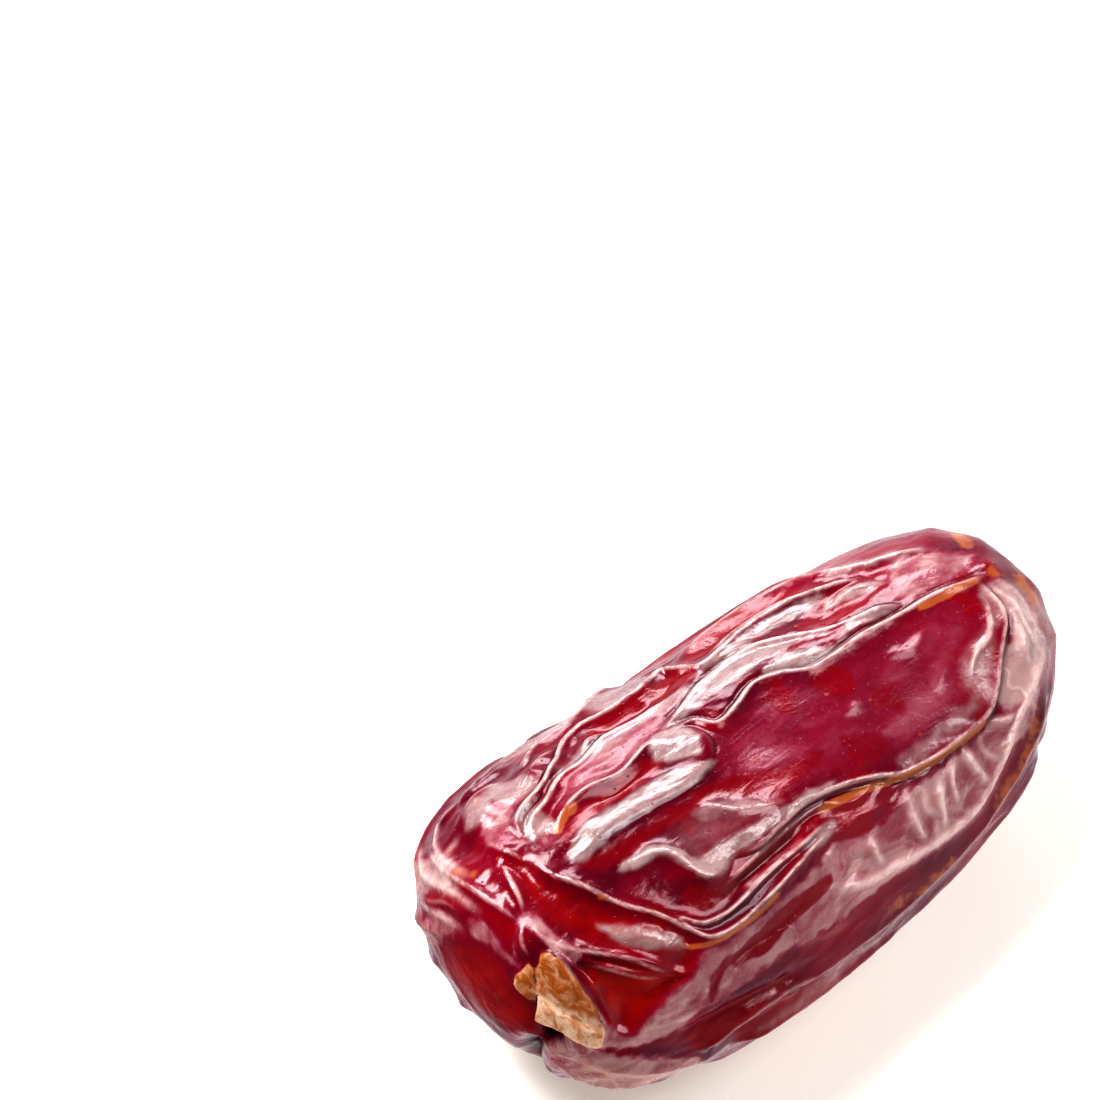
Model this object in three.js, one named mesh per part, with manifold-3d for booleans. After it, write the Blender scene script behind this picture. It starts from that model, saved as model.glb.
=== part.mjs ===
// A medjool date, one dried fruit in one piece, lying on its side.
// Millimetres, +Z up. The stem end points to -X and the tip to +X, and the flat spot that it
// rests on lies in the plane z = 0, under the middle of the fruit.

import * as THREE from 'three';
import { ConvexHull } from 'three/addons/math/ConvexHull.js';
import Module from 'manifold-3d';

// The plump body under the folds
const LENGTH = 58;
const HALF_WIDTH = 13.8;
const HALF_HEIGHT = 11.4;
const TAPER = 0.053;
const STEM_END = { flat: 4.2, round: 2.45 };
const TIP_END = { flat: 3.0, round: 2.9 };
// The fruit is curved a little, its stem end is set over to one side, and its tip is lifted.
const BEND_SIDE = 1.1;
const BEND_UP = 1.7;
const STEM_SHIFT = { side: -1.5, up: 2.0, power: 6 };
const TIP_LIFT = { up: 1.8, power: 4 };

// The skin between the folds lies this far below the plump body.
const SKIN_DROP = 0.35;
// A fold rises to its height and falls away over this length at each end.
const FOLD_FADE = 3;
// Folds that meet are blended by this power, so that they don't pile up.
const BLEND = 3;
// A fold's crease lies this far beyond its flank and has this half width.
const CREASE_OUT = 0.1;
const CREASE_HALF_WIDTH = 0.2;
// The underside is pressed smooth over this half length and half width, and cut this deep.
const REST = { halfLength: 17, halfWidth: 6.5, depth: 0.65 };

// The mesh: one point every so far along a fold's crest and feet, close pairs at the scar's edges,
// and fill between them
const CREST_STEP = 1.05;
const FOOT_OFFSET = 0.75;
const LEAST_GAP = 0.55;
const EDGE_OFFSET = 0.25;
const EDGE_GAP = 0.4;
const FILL_POINTS = 5200;
const FILL_GAP = 0.85;

// A place on the skin is given as [m, a]. m is the distance in mm from the stem end along
// the skin, about 72 at the tip. a is the angle in degrees about the long axis, 0 on top,
// 90 on the -Y side, 180 underneath and -90 on the +Y side.

// Folds: height, width of the flank on the left and on the right of the way the points run,
// depth of the crease at the right foot, or below 0 at the left foot, roundness of the crest, and
// the points
const FOLDS = [
  // The rim of the stem end, which turns into the double ridge of the near shoulder
  fold(0.34, 0.4, 0.3, 0, 0.12, [
      [13.5, 1], [13.5, 6], [14.5, 16], [16, 29], [17.5, 36.5], [19, 46], [20, 51], [22, 52],
      [26, 49.5], [30, 46], [33, 44.5]]),
  fold(0.35, 0.35, 0.3, 0.05, 0.1, [
      [18, 37], [19, 42], [20, 46], [22, 47], [26, 44], [29, 43], [33, 42]]),
  // The near shoulder, from the middle of the fruit to the tip
  fold(0.45, 1.6, 0.3, 0.15, 0.1, [
      [24.5, 33.5], [26.5, 35.5], [29, 34.5], [32, 33.5], [35, 35.5], [38, 40], [40, 44.5],
      [43, 47.5], [47, 49.5], [50.5, 50], [52.5, 45], [54.5, 38.5], [57, 32], [58, 24], [58, 12]]),
  fold(0.3, 0.4, 0.3, 0.08, 0.12, [[22, 40.5], [25, 38.5], [28, 37], [32, 36], [34.5, 37.5]]),
  // The step on top behind the rim, and the folds that leave it
  fold(0.6, 0.45, 1.0, 0.0, 0.2, [
      [17.5, 20], [19, 19.5], [20.5, 21.5], [21.2, 26], [21.6, 32], [22.5, 35.5], [24.5, 33.5]]),
  fold(0.45, 0.7, 0.7, 0, 0.25, [[24, 19], [25.5, 18.5], [27, 24], [29, 28], [32, 31]]),
  // The broad ridge along the top, which hooks back round the hollow beside it
  fold(0.42, 0.8, 0.6, 0.08, 1.0, [
      [15.5, 7], [18, 6], [23, 7], [27, 7.5], [29, 3], [29.5, -4], [28.5, -9]]),
  fold(0.5, 0.6, 0.6, 0, 0.2, [[16, -2], [17.5, -6], [20, -8], [23, -6], [26, -9], [28.5, -9.5]]),
  // The long fold above the great panel, which runs on to the tip
  fold(0.5, 0.35, 0.6, -0.15, 0.15, [
      [28.5, -10], [30.5, -8], [31.5, -2.5], [33.5, -3.5], [36.5, -7], [38.5, -4.5], [40.5, 0.5],
      [42.5, 1.5], [46, 2], [50, 4], [54, 6], [57, 10.5], [60, 14.5]]),
  fold(0.4, 0.5, 0.5, 0, 0.2, [[38, -8.5], [40, -7], [42, -3], [43.5, -0.5]]),
  fold(0.5, 0.35, 0.6, -0.15, 0.15, [
      [28, -11], [31, -14.5], [34, -19], [37, -21], [39.5, -20.5], [42, -15], [44.5, -8],
      [47, -5], [49.5, -2.5], [51.5, 2]]),
  // Broad soft folds between the crisp ones
  fold(0.4, 0.8, 0.8, 0, 1.3, [[29, -13], [33, -13], [37, -15], [41, -9], [45, -3], [49, 0]]),
  fold(0.35, 0.8, 0.8, 0, 1.2, [[18, -13], [22, -13], [27, -16], [32, -20], [36, -25], [41, -26]]),
  fold(0.35, 0.8, 0.8, 0, 1.2, [[17, -25], [20, -30], [23, -36]]),
  fold(0.35, 0.9, 0.9, 0, 1.2, [[24, 29], [28, 31], [33, 30], [37, 33]]),
  fold(0.3, 0.9, 0.9, 0, 1.2, [[52, -8], [55, -5], [59, -2]]),
  // The folds of the far shoulder
  fold(0.5, 0.4, 0.5, -0.12, 0.15, [
      [15, -5], [15.5, -11], [18, -14], [20, -18], [22, -18], [25, -22], [28, -21], [32, -22]]),
  fold(0.4, 0.5, 0.5, 0, 0.2, [[22, -17], [23.5, -24], [24.7, -26], [27, -21.5]]),
  fold(0.7, 0.4, 0.5, -0.15, 0.15, [
      [14.7, -9], [15, -15], [18, -18.5], [21, -25], [23, -31], [25.5, -34], [28, -33],
      [31, -34.5], [33.8, -38], [34.6, -32], [35.6, -26], [38.5, -28], [41.5, -30.5],
      [46, -28.5], [49, -23], [52, -18.5]]),
  fold(0.5, 0.5, 0.5, 0, 0.2, [[36.5, -32], [39, -32], [42, -34.5], [46, -32], [48.5, -26]]),
  fold(0.65, 0.5, 0.5, -0.15, 0.15, [
      [18, -32], [20, -35], [22, -40], [25.5, -41.5], [28, -48], [30.5, -58], [34, -66]]),
  fold(0.5, 0.5, 0.5, 0, 0.2, [[18.5, -28], [21, -31.5], [23, -32]]),
  fold(0.6, 0.7, 0.6, -0.15, 0.2, [
      [36, -40], [40, -46], [45, -49], [48.5, -44], [50.5, -34], [52.5, -25], [55, -19.5],
      [58.5, -14]]),
  fold(0.4, 0.5, 0.5, 0, 0.3, [[47.5, -17], [50, -16], [52, -13]]),
  // The near side: one long fold, and the ribs that web it to the shoulder
  fold(0.45, 0.5, 0.6, 0, 0.15, [
      [30, 61], [34, 68], [37, 70.5], [41, 74], [45.5, 75.5], [49, 71], [52, 63.5], [54, 60.5],
      [57, 58], [60.5, 53]]),
  fold(0.3, 0.35, 0.35, 0, 0.12, [[35.5, 55], [35, 61], [35.5, 68]]),
  fold(0.45, 0.35, 0.5, 0, 0.12, [[40, 50], [39.4, 57], [39.4, 64], [40, 72]]),
  fold(0.4, 0.35, 0.35, 0, 0.12, [[43.3, 56], [42.2, 63], [42, 74]]),
  fold(0.4, 0.35, 0.35, 0, 0.12, [[45.5, 52], [44, 58], [44, 69]]),
  fold(0.4, 0.35, 0.35, 0, 0.12, [[46.4, 52], [46.5, 60], [47.5, 73]]),
  fold(0.35, 0.35, 0.35, 0, 0.12, [[50, 53], [51.5, 58], [53, 60]]),
  fold(0.6, 0.8, 0.7, 0.2, 0.25, [
      [16.5, 100], [18, 91], [20.5, 86], [24, 85], [28, 88], [33, 90], [40, 89], [47, 86],
      [53, 80], [58, 72]]),
  // Round the tip
  fold(0.45, 0.5, 0.5, 0, 0.3, [[58, 15], [58, 27], [58, 38], [57, 47], [57, 57]]),
  fold(0.35, 0.4, 0.4, 0, 0.2, [[58.5, 17], [59.4, 30], [58.7, 44], [59, 59]]),
  fold(0.4, 0.45, 0.4, 0, 0.12, [[50.3, 38], [52, 32], [54.5, 30.5], [56.5, 24], [57.5, 17]]),
  fold(0.22, 0.7, 0.7, 0, 0.4, [[58, 12], [61, 8], [64, -5], [67, -30]]),
  fold(0.25, 0.7, 0.7, 0, 0.4, [[60, 16], [63, 26], [65.5, 45], [68, 80]]),
  fold(0.22, 0.7, 0.7, 0, 0.4, [[58.5, -14], [61, -25], [64, -45], [67, -80]]),
  fold(0.3, 0.7, 0.7, 0, 0.4, [[60.5, 53], [63, 66], [65.5, 90], [68, 130]]),
  fold(0.45, 0.7, 0.7, 0, 0.3, [[56, 104], [60, 108], [64, 120], [68, 160]]),
  fold(0.45, 0.7, 0.7, 0, 0.3, [[57, 146], [61, 152], [65, 170], [68, 205]]),
  fold(0.45, 0.7, 0.7, 0, 0.3, [[57, 196], [61, 202], [65, 214], [68, 245]]),
  fold(0.45, 0.7, 0.7, 0, 0.3, [[57, 240], [61, 244], [65, 256], [68, 285]]),
  // Small wrinkles in the great panel
  fold(0.25, 0.35, 0.35, 0, 0.15, [[45.5, 14], [46.5, 13], [48, 15.5], [49.5, 15], [51, 13]]),
  fold(0.2, 0.35, 0.35, 0, 0.15, [[39.5, 19], [40.8, 19], [42.2, 19.7]]),
  fold(0.2, 0.5, 0.5, 0, 0.2, [[47, 32.5], [48.6, 29.5], [50.2, 27]]),
  // The end face, where the folds run together round the torn scar
  fold(0.4, 0.35, 0.35, 0, 0.12, [[12, -11], [11.2, -2], [10.5, 7], [9.5, 14]]),
  fold(0.36, 0.4, 0.4, 0, 0.2, [
      [9.5, 14], [10, 26], [10.8, 32], [12, 37], [14, 44.5], [15.6, 53], [17, 58.5]]),
  fold(0.35, 0.4, 0.4, 0, 0.2, [[10.3, 39], [12, 44], [14.5, 54], [16.5, 58]]),
  fold(0.33, 0.4, 0.4, 0, 0.2, [[9.5, 14], [9.9, 30], [10, 50], [10.5, 68], [10.5, 80]]),
  fold(0.38, 0.4, 0.4, 0, 0.2, [
      [9.5, 14], [8.9, 2], [8.7, -12], [8.8, -30], [9.5, -44], [11, -58]]),
  fold(0.35, 0.4, 0.4, 0, 0.2, [[9.5, 14], [8.3, 20], [7.8, 30]]),
  fold(0.4, 0.5, 0.5, 0, 0.2, [[12.2, -24], [12.6, -13], [12.9, -7], [13.5, 1]]),
  fold(0.45, 0.8, 0.8, 0, 0.5, [[14, 32], [16, 41.5], [18.5, 51]]),
  fold(0.35, 0.5, 0.5, 0, 0.3, [
      [10.5, 72], [12, 76], [13.3, 70], [15.5, 63], [17.5, 59], [20, 54]]),
  fold(0.45, 0.45, 0.45, 0, 0.25, [[6, -10], [6.6, -30], [6.5, -52], [8, -74]]),
  fold(0.4, 0.45, 0.45, 0, 0.25, [[4, -45], [4.8, -75], [7, -96], [10, -108]]),
  fold(0.45, 0.45, 0.45, 0, 0.25, [[11, -58], [13, -52], [15.5, -47], [18, -45], [20, -48]]),
  fold(0.45, 0.45, 0.45, 0, 0.25, [[8, -74], [11, -72], [14.5, -66], [19, -62], [23, -64]]),
  fold(0.4, 0.45, 0.45, 0, 0.25, [[12.5, -40], [14.5, -38], [17, -39], [19, -42]]),
  fold(0.3, 0.4, 0.4, 0, 0.2, [[9.4, -20], [9.6, -34], [10.4, -46], [12.5, -54], [15, -56]]),
  fold(0.3, 0.4, 0.4, 0, 0.2, [[7.4, -8], [7.6, -28], [7.8, -46], [9, -62], [11.5, -70]]),
  fold(0.28, 0.4, 0.4, 0, 0.2, [[5, -20], [5.4, -46], [6.6, -68], [8.6, -84]]),
  fold(0.3, 0.4, 0.4, 0, 0.2, [[13.3, -40], [14.4, -46], [17, -50], [21, -52], [25, -57]]),
  fold(0.5, 0.7, 0.7, 0, 0.3, [[9, 96], [12, 100], [16.5, 101], [20, 104]]),
  fold(0.45, 0.7, 0.7, 0, 0.3, [[7, 118], [10, 122], [14, 120], [18, 124]]),
  fold(0.45, 0.7, 0.7, 0, 0.3, [[6, 150], [9, 146], [13, 150], [17, 147]]),
  fold(0.45, 0.7, 0.7, 0, 0.3, [[5, -160], [9, -158], [13, -164], [18, -162]]),
  fold(0.45, 0.7, 0.7, 0, 0.3, [[5, -125], [9, -128], [13, -124], [18, -129]]),
  // The underside and the two sides that turn under it
  fold(0.8, 0.9, 0.8, 0.3, 0.3, [
      [20, 104], [25, 103], [31, 107], [37, 105], [44, 109], [51, 104], [57, 97]]),
  fold(0.6, 0.7, 0.7, 0.2, 0.3, [
      [18, 124], [24, 119], [31, 122], [39, 119], [46, 123], [52, 118]]),
  fold(0.5, 0.6, 0.6, 0, 0.25, [[25, 103], [28, 110], [31, 122]]),
  fold(0.5, 0.6, 0.6, 0, 0.25, [[37, 105], [40, 112], [46, 123]]),
  fold(0.8, 0.9, 0.8, 0.3, 0.3, [
      [17, 147], [22, 136], [28, 139], [35, 134], [42, 138], [49, 133], [56, 127]]),
  fold(0.6, 0.7, 0.7, 0.2, 0.3, [
      [20, 155], [27, 152], [34, 156], [42, 152], [49, 156], [57, 146]]),
  fold(0.5, 0.7, 0.7, 0, 0.3, [[16, 178], [22, 174], [30, 177], [38, 173], [46, 177], [54, 172]]),
  fold(0.6, 0.7, 0.7, 0.2, 0.3, [
      [18, -162], [24, -166], [31, -161], [39, -166], [47, -161], [57, -164]]),
  fold(0.7, 0.8, 0.8, 0.2, 0.3, [
      [15, -145], [21, -149], [28, -144], [35, -148], [42, -143], [49, -147], [55, -142]]),
  fold(0.8, 0.9, 0.8, 0.3, 0.3, [
      [18, -129], [24, -126], [31, -131], [38, -126], [45, -130], [52, -125], [57, -120]]),
  fold(0.5, 0.6, 0.6, 0, 0.25, [[28, -144], [31, -138], [31, -131]]),
  fold(0.6, 0.7, 0.7, 0.2, 0.3, [
      [10, -108], [16, -112], [22, -107], [29, -113], [36, -108], [43, -112], [50, -106],
      [57, -109]]),
  fold(0.5, 0.6, 0.6, 0, 0.25, [[36, -108], [39, -116], [38, -126]]),
  fold(0.7, 0.8, 0.8, 0.2, 0.3, [
      [14, -92], [20, -96], [27, -91], [33, -95], [40, -90], [47, -94], [53, -89], [59, -92]]),
  fold(0.6, 0.7, 0.7, 0.2, 0.25, [
      [23, -64], [28, -74], [33, -79], [39, -75], [44, -79], [50, -74], [57, -78]]),
  fold(0.5, 0.6, 0.6, 0, 0.25, [[33, -79], [36, -70], [41, -62], [46, -60], [52, -56]]),
  fold(0.4, 0.6, 0.6, 0, 0.25, [[20, -96], [23, -88], [28, -74]]),
];

// Creases: depth, half width and the points
const CREASES = [
  // The cleft at the stem end, open under the scar and closing on the underside
  crease(2.7, 0.85, [[4.8, 58], [5.6, 68], [6.1, 80], [5.9, 96], [5.4, 112]]),
  crease(1.5, 0.85, [[5.6, 100], [5.4, 115], [5.8, 134], [7.4, 149], [11, 158]]),
  // The deep fold line low on the near side
  crease(0.4, 0.6, [[14.5, 84], [17, 80.5], [21, 79.5], [24, 81], [27, 83]]),
  crease(0.4, 1.0, [[18, 98], [22, 95], [26, 96], [30, 99]]),
  crease(0.25, 0.8, [[19, 63], [22, 62], [26, 60.5], [30, 59]]),
  crease(0.45, 0.9, [[24, -28], [28, -27], [32, -28], [34, -31]]),
  crease(0.45, 1.0, [[36, -36], [41, -40], [46, -40], [49, -36]]),
  crease(0.4, 0.7, [[19, -3], [22, -2], [25, -3]]),
  crease(0.35, 0.6, [[22, 43], [26, 41], [31, 39.5]]),
];

// Swellings and hollows: height, m, a, half length and half width in mm
const SWELLINGS = [
  swelling(0.45, 26, 29, 5, 1.6),
  swelling(0.5, 27.6, -4, 1.8, 1.4),
  swelling(-0.25, 33, 10, 2.6, 1.9),
  swelling(-0.4, 46, -14.5, 1.7, 1.2),
  swelling(-0.3, 43, 26, 5, 2.5),
  swelling(-0.35, 12.2, 18, 1.4, 3.5),
  swelling(-0.4, 12.4, 62, 1.6, 2.4),
  swelling(0.6, 14.3, -30, 1.8, 1.8),
  swelling(-0.5, 11.4, -28, 1.2, 1.6),
  swelling(0.3, 60.3, 14.5, 1.5, 1.3),
  swelling(0.45, 40, 82, 7, 1.8),
  // The small point at the tip
  swelling(0.5, 71.6, 0, 1.6, 1.6),
];

// Sunken areas: depth, softness of the edge and the outline. An outline on the end face is given to
// onEnd as distances from the end's middle, across to the -Y side and up.
const SUNKEN = [
  // The clear triangle between the scar and the near side
  area(0.35, 0.3, onEnd([
      [6.7, 7.9], [7.1, 8.4], [9, 8.7], [11.7, 8.7], [14, 8.75], [14.8, 9.0], [14.6, 8.5],
      [13.6, 6.8], [13, 5.2], [12.5, 4.1], [11.9, 3.2], [11.3, 3.1], [10.25, 3.6], [9.7, 4.6],
      [8.7, 6.4], [7.5, 7.5]])),
  area(0.22, 0.15, onEnd([
      [7.1, 9.05], [9, 9.65], [10.9, 9.95], [13.2, 9.4], [14, 9.0], [11.7, 9.0], [9, 8.95]])),
  // The clear panel between the rim and the scar's folds
  area(0.25, 0.6, onEnd([
      [-1.4, 13.5], [0.25, 13.1], [1.3, 12.9], [2.75, 13.3], [6.9, 13.6], [11.1, 13.5], [13.8, 12.7],
      [14.6, 11.8], [14.8, 9.3], [14, 9.3], [10.9, 10.5], [8.6, 10.1], [6.7, 9.8], [4.6, 9.95],
      [2.6, 10.6], [1.5, 10.9], [0, 11.6], [-1.6, 11.7], [-1.4, 12.9]])),
];

// The scar of the stem, as raised areas: height, softness of the edge and the outline
const TORN = [
  // A ragged flap of tough tissue over the cleft
  area(0.4, 0.35, onEnd([
      [4.3, 7.7], [4.85, 8.25], [5.8, 8.1], [7.1, 7.25], [8.4, 6.0], [9.25, 4.65], [9.7, 3.5],
      [9.8, 2.5], [9.6, 1.45], [8, 1.65], [6.5, 2.15], [5.1, 2.0], [5.15, 3.4], [4.8, 4.75],
      [4.5, 5.9]])),
  // Its free lower end
  area(0.7, 0.15, onEnd([
      [4.9, 4.6], [5.15, 3.4], [5.1, 2.0], [6.5, 2.15], [8, 1.65], [9.6, 1.45], [9.8, 2.5],
      [9.6, 3.6], [8.3, 3.5], [6.6, 4.0]])),
  // The fibrous knob beside it
  area(0.45, 0.3, onEnd([
      [3.5, 5.6], [4.0, 6.5], [4.5, 5.6], [4.9, 4.3], [4.8, 3.4], [4.1, 3.25], [3.3, 3.7],
      [3.2, 4.75]])),
];

function fold(height, left, right, crease, round, points) {
  return { height, left, right, crease, round, points };
}

function crease(depth, halfWidth, points) {
  return { depth, halfWidth, points };
}

function swelling(height, m, a, halfLength, halfWidth) {
  return { height, m, a, halfLength, halfWidth };
}

function area(height, edge, outline) {
  return { height, edge, outline };
}

function onEnd(outline) {
  return outline.map(([across, up]) => {
    const turn = THREE.MathUtils.radToDeg(Math.atan2(across, up));
    return [Math.hypot(across, up), turn];
  });
}

// The body's radius as a share of its half width, from t = -1 at the stem end to 1 at the tip
function girth(t) {
  const end = t < 0 ? STEM_END : TIP_END;
  const reach = Math.min(Math.abs(t), 1);
  return (1 - reach ** end.flat) ** (1 / end.round) * (1 - TAPER * t);
}

// The distance along the skin, summed in short steps that are closest at the two ends
const STATIONS = 2000;
const stationT = [];
const stationM = [];
for (let i = 0; i <= STATIONS; i += 1) {
  const t = -Math.cos((Math.PI * i) / STATIONS);
  stationT.push(t);
  if (i === 0) {
    stationM.push(0);
  } else {
    const along = ((t - stationT[i - 1]) * LENGTH) / 2;
    const outward = ((girth(t) - girth(stationT[i - 1])) * (HALF_WIDTH + HALF_HEIGHT)) / 2;
    stationM.push(stationM[i - 1] + Math.hypot(along, outward));
  }
}
const SKIN_LENGTH = stationM[STATIONS];

function stationOf(m) {
  let low = 0;
  let high = STATIONS;
  while (high - low > 1) {
    const middle = (low + high) >> 1;
    if (stationM[middle] > m) high = middle;
    else low = middle;
  }
  const share = (m - stationM[low]) / (stationM[high] - stationM[low]);
  return stationT[low] + share * (stationT[high] - stationT[low]);
}

// Every place on the skin has a direction on a unit sphere, whose poles are the two ends.
function directionOf([m, a]) {
  const polar = (Math.PI * m) / SKIN_LENGTH;
  const turn = THREE.MathUtils.degToRad(a);
  const ring = Math.sin(polar);
  return new THREE.Vector3(-Math.cos(polar), -ring * Math.sin(turn), ring * Math.cos(turn));
}

function placeOf(direction) {
  const polar = Math.acos(THREE.MathUtils.clamp(-direction.x, -1, 1));
  const turn = Math.atan2(-direction.y, direction.z);
  return { m: (polar / Math.PI) * SKIN_LENGTH, turn };
}

// The plump body's point in a direction
function bodyPoint(direction) {
  const { m, turn } = placeOf(direction);
  const t = stationOf(m);
  const radius = girth(t);
  const reach = Math.abs(t);
  const atStem = t < 0 ? reach ** STEM_SHIFT.power : 0;
  const atTip = t > 0 ? reach ** TIP_LIFT.power : 0;
  const side = BEND_SIDE * t * t + STEM_SHIFT.side * atStem;
  const up = BEND_UP * t * t + STEM_SHIFT.up * atStem + TIP_LIFT.up * atTip;
  return new THREE.Vector3(
    (t * LENGTH) / 2,
    side - HALF_WIDTH * radius * Math.sin(turn),
    up + HALF_HEIGHT * radius * Math.cos(turn),
  );
}

// The direction straight out of the plump body
function bodyNormal(direction) {
  const tilt = 0.004;
  const helper = Math.abs(direction.x) < 0.9 ? new THREE.Vector3(1, 0, 0) : new THREE.Vector3(0, 0, 1);
  const first = new THREE.Vector3().crossVectors(direction, helper).normalize();
  const second = new THREE.Vector3().crossVectors(direction, first).normalize();
  const across = (axis) => {
    const ahead = bodyPoint(direction.clone().addScaledVector(axis, tilt).normalize());
    const behind = bodyPoint(direction.clone().addScaledVector(axis, -tilt).normalize());
    return ahead.sub(behind);
  };
  return new THREE.Vector3().crossVectors(across(first), across(second)).normalize();
}

// A smooth line through points on the skin, as directions, and its length along the body
function traced(points) {
  const curve = new THREE.CatmullRomCurve3(points.map(directionOf), false, 'centripetal');
  const directions = curve.getPoints(points.length * 8).map((point) => point.normalize());
  const line = directions.map(bodyPoint);
  const reached = [0];
  for (let i = 1; i < line.length; i += 1) {
    reached.push(reached[i - 1] + line[i].distanceTo(line[i - 1]));
  }
  return { directions, line, reached, length: reached[line.length - 1] };
}

// The nearest point of a traced line: how far it is, on which side, and how far along
function nearest(trace, point, normal) {
  let best = { distance: Infinity, side: 1, along: 0 };
  const step = new THREE.Vector3();
  const offset = new THREE.Vector3();
  const foot = new THREE.Vector3();
  for (let i = 1; i < trace.line.length; i += 1) {
    step.subVectors(trace.line[i], trace.line[i - 1]);
    offset.subVectors(point, trace.line[i - 1]);
    const share = THREE.MathUtils.clamp(offset.dot(step) / step.lengthSq(), 0, 1);
    foot.copy(trace.line[i - 1]).addScaledVector(step, share);
    const distance = foot.distanceTo(point);
    if (distance < best.distance) {
      offset.subVectors(point, foot);
      const side = new THREE.Vector3().crossVectors(normal, step).dot(offset) < 0 ? -1 : 1;
      const along = trace.reached[i - 1] + share * (trace.reached[i] - trace.reached[i - 1]);
      best = { distance, side, along };
    }
  }
  return best;
}

function endFade(along, length) {
  const reach = Math.min(FOLD_FADE, length / 2);
  const rising = THREE.MathUtils.smoothstep(along, -0.5, reach);
  return rising * THREE.MathUtils.smoothstep(length - along, -0.5, reach);
}

// How far a point lies inside an area: 1 well inside, 0 outside, and soft at the edge
function within(one, point, normal) {
  const { ring, facing, across, up } = one;
  if (normal.dot(facing) < 0.15 || ring.every((corner) => corner.distanceTo(point) > 5)) return 0;
  const x = point.dot(across);
  const y = point.dot(up);
  let inside = false;
  let distance = Infinity;
  for (let i = 1; i < ring.length; i += 1) {
    const fromX = ring[i - 1].dot(across);
    const fromY = ring[i - 1].dot(up);
    const dx = ring[i].dot(across) - fromX;
    const dy = ring[i].dot(up) - fromY;
    const along = ((x - fromX) * dx + (y - fromY) * dy) / Math.max(dx * dx + dy * dy, 1e-9);
    const share = THREE.MathUtils.clamp(along, 0, 1);
    distance = Math.min(distance, Math.hypot(x - fromX - share * dx, y - fromY - share * dy));
    if (fromY > y !== fromY + dy > y && x < fromX + ((y - fromY) / dy) * dx) inside = !inside;
  }
  return THREE.MathUtils.smoothstep(inside ? distance : -distance, -one.edge, one.edge);
}

const blended = (heights) => heights.reduce((sum, height) => sum + height ** BLEND, 0) ** (1 / BLEND);

// How far the skin stands above the plump body
function relief(direction, point, normal) {
  const crests = [];
  const hollows = [];
  for (const one of FOLDS) {
    const { distance, side, along } = nearest(one.trace, point, normal);
    if (distance > 6) continue;
    const fade = endFade(along, one.trace.length);
    const flank = side > 0 ? one.left : one.right;
    const rounded = Math.hypot(distance, one.round) - one.round;
    crests.push(one.height * fade * Math.exp(-rounded / flank));
    if (side * one.crease < 0) {
      const fromFoot = (distance - flank - CREASE_OUT) / CREASE_HALF_WIDTH;
      hollows.push(Math.abs(one.crease) * fade * Math.exp(-fromFoot * fromFoot));
    }
  }
  for (const one of CREASES) {
    const { distance, along } = nearest(one.trace, point, normal);
    const fade = endFade(along, one.trace.length);
    hollows.push(one.depth * fade * Math.exp(-((distance / one.halfWidth) ** 1.6)));
  }
  const torn = Math.max(...TORN.map((one) => one.height * within(one, point, normal)));
  const sunken = Math.max(...SUNKEN.map((one) => one.height * within(one, point, normal)));
  const open = 1 - THREE.MathUtils.clamp(torn / 0.5, 0, 1);
  let height = blended(crests) - blended(hollows) * open - SKIN_DROP + torn - sunken;
  const { m, turn } = placeOf(direction);
  for (const one of SWELLINGS) {
    const radius = (girth(stationOf(one.m)) * (HALF_WIDTH + HALF_HEIGHT)) / 2;
    const angle = turn - THREE.MathUtils.degToRad(one.a);
    const lengthwise = (m - one.m) / one.halfLength;
    const around = (Math.atan2(Math.sin(angle), Math.cos(angle)) * radius) / one.halfWidth;
    height += one.height * Math.exp(-(lengthwise * lengthwise + around * around));
  }
  return height * (1 - pressed(point, normal));
}

// 1 where the fruit is pressed smooth by its own weight, 0 away from there
function pressed(point, normal) {
  if (normal.z > -0.5) return 0;
  return Math.exp(-((point.x / REST.halfLength) ** 4) - (point.y / REST.halfWidth) ** 4);
}

for (const one of [...FOLDS, ...CREASES]) one.trace = traced(one.points);
for (const one of [...SUNKEN, ...TORN]) {
  one.trace = traced([...one.outline, one.outline[0]]);
  one.ring = one.trace.line;
  one.facing = new THREE.Vector3();
  for (const place of one.outline) one.facing.add(bodyNormal(directionOf(place)));
  one.facing.normalize();
  one.across = new THREE.Vector3().crossVectors(one.facing, new THREE.Vector3(0.3, 0.2, 1)).normalize();
  one.up = new THREE.Vector3().crossVectors(one.facing, one.across);
}

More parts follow.
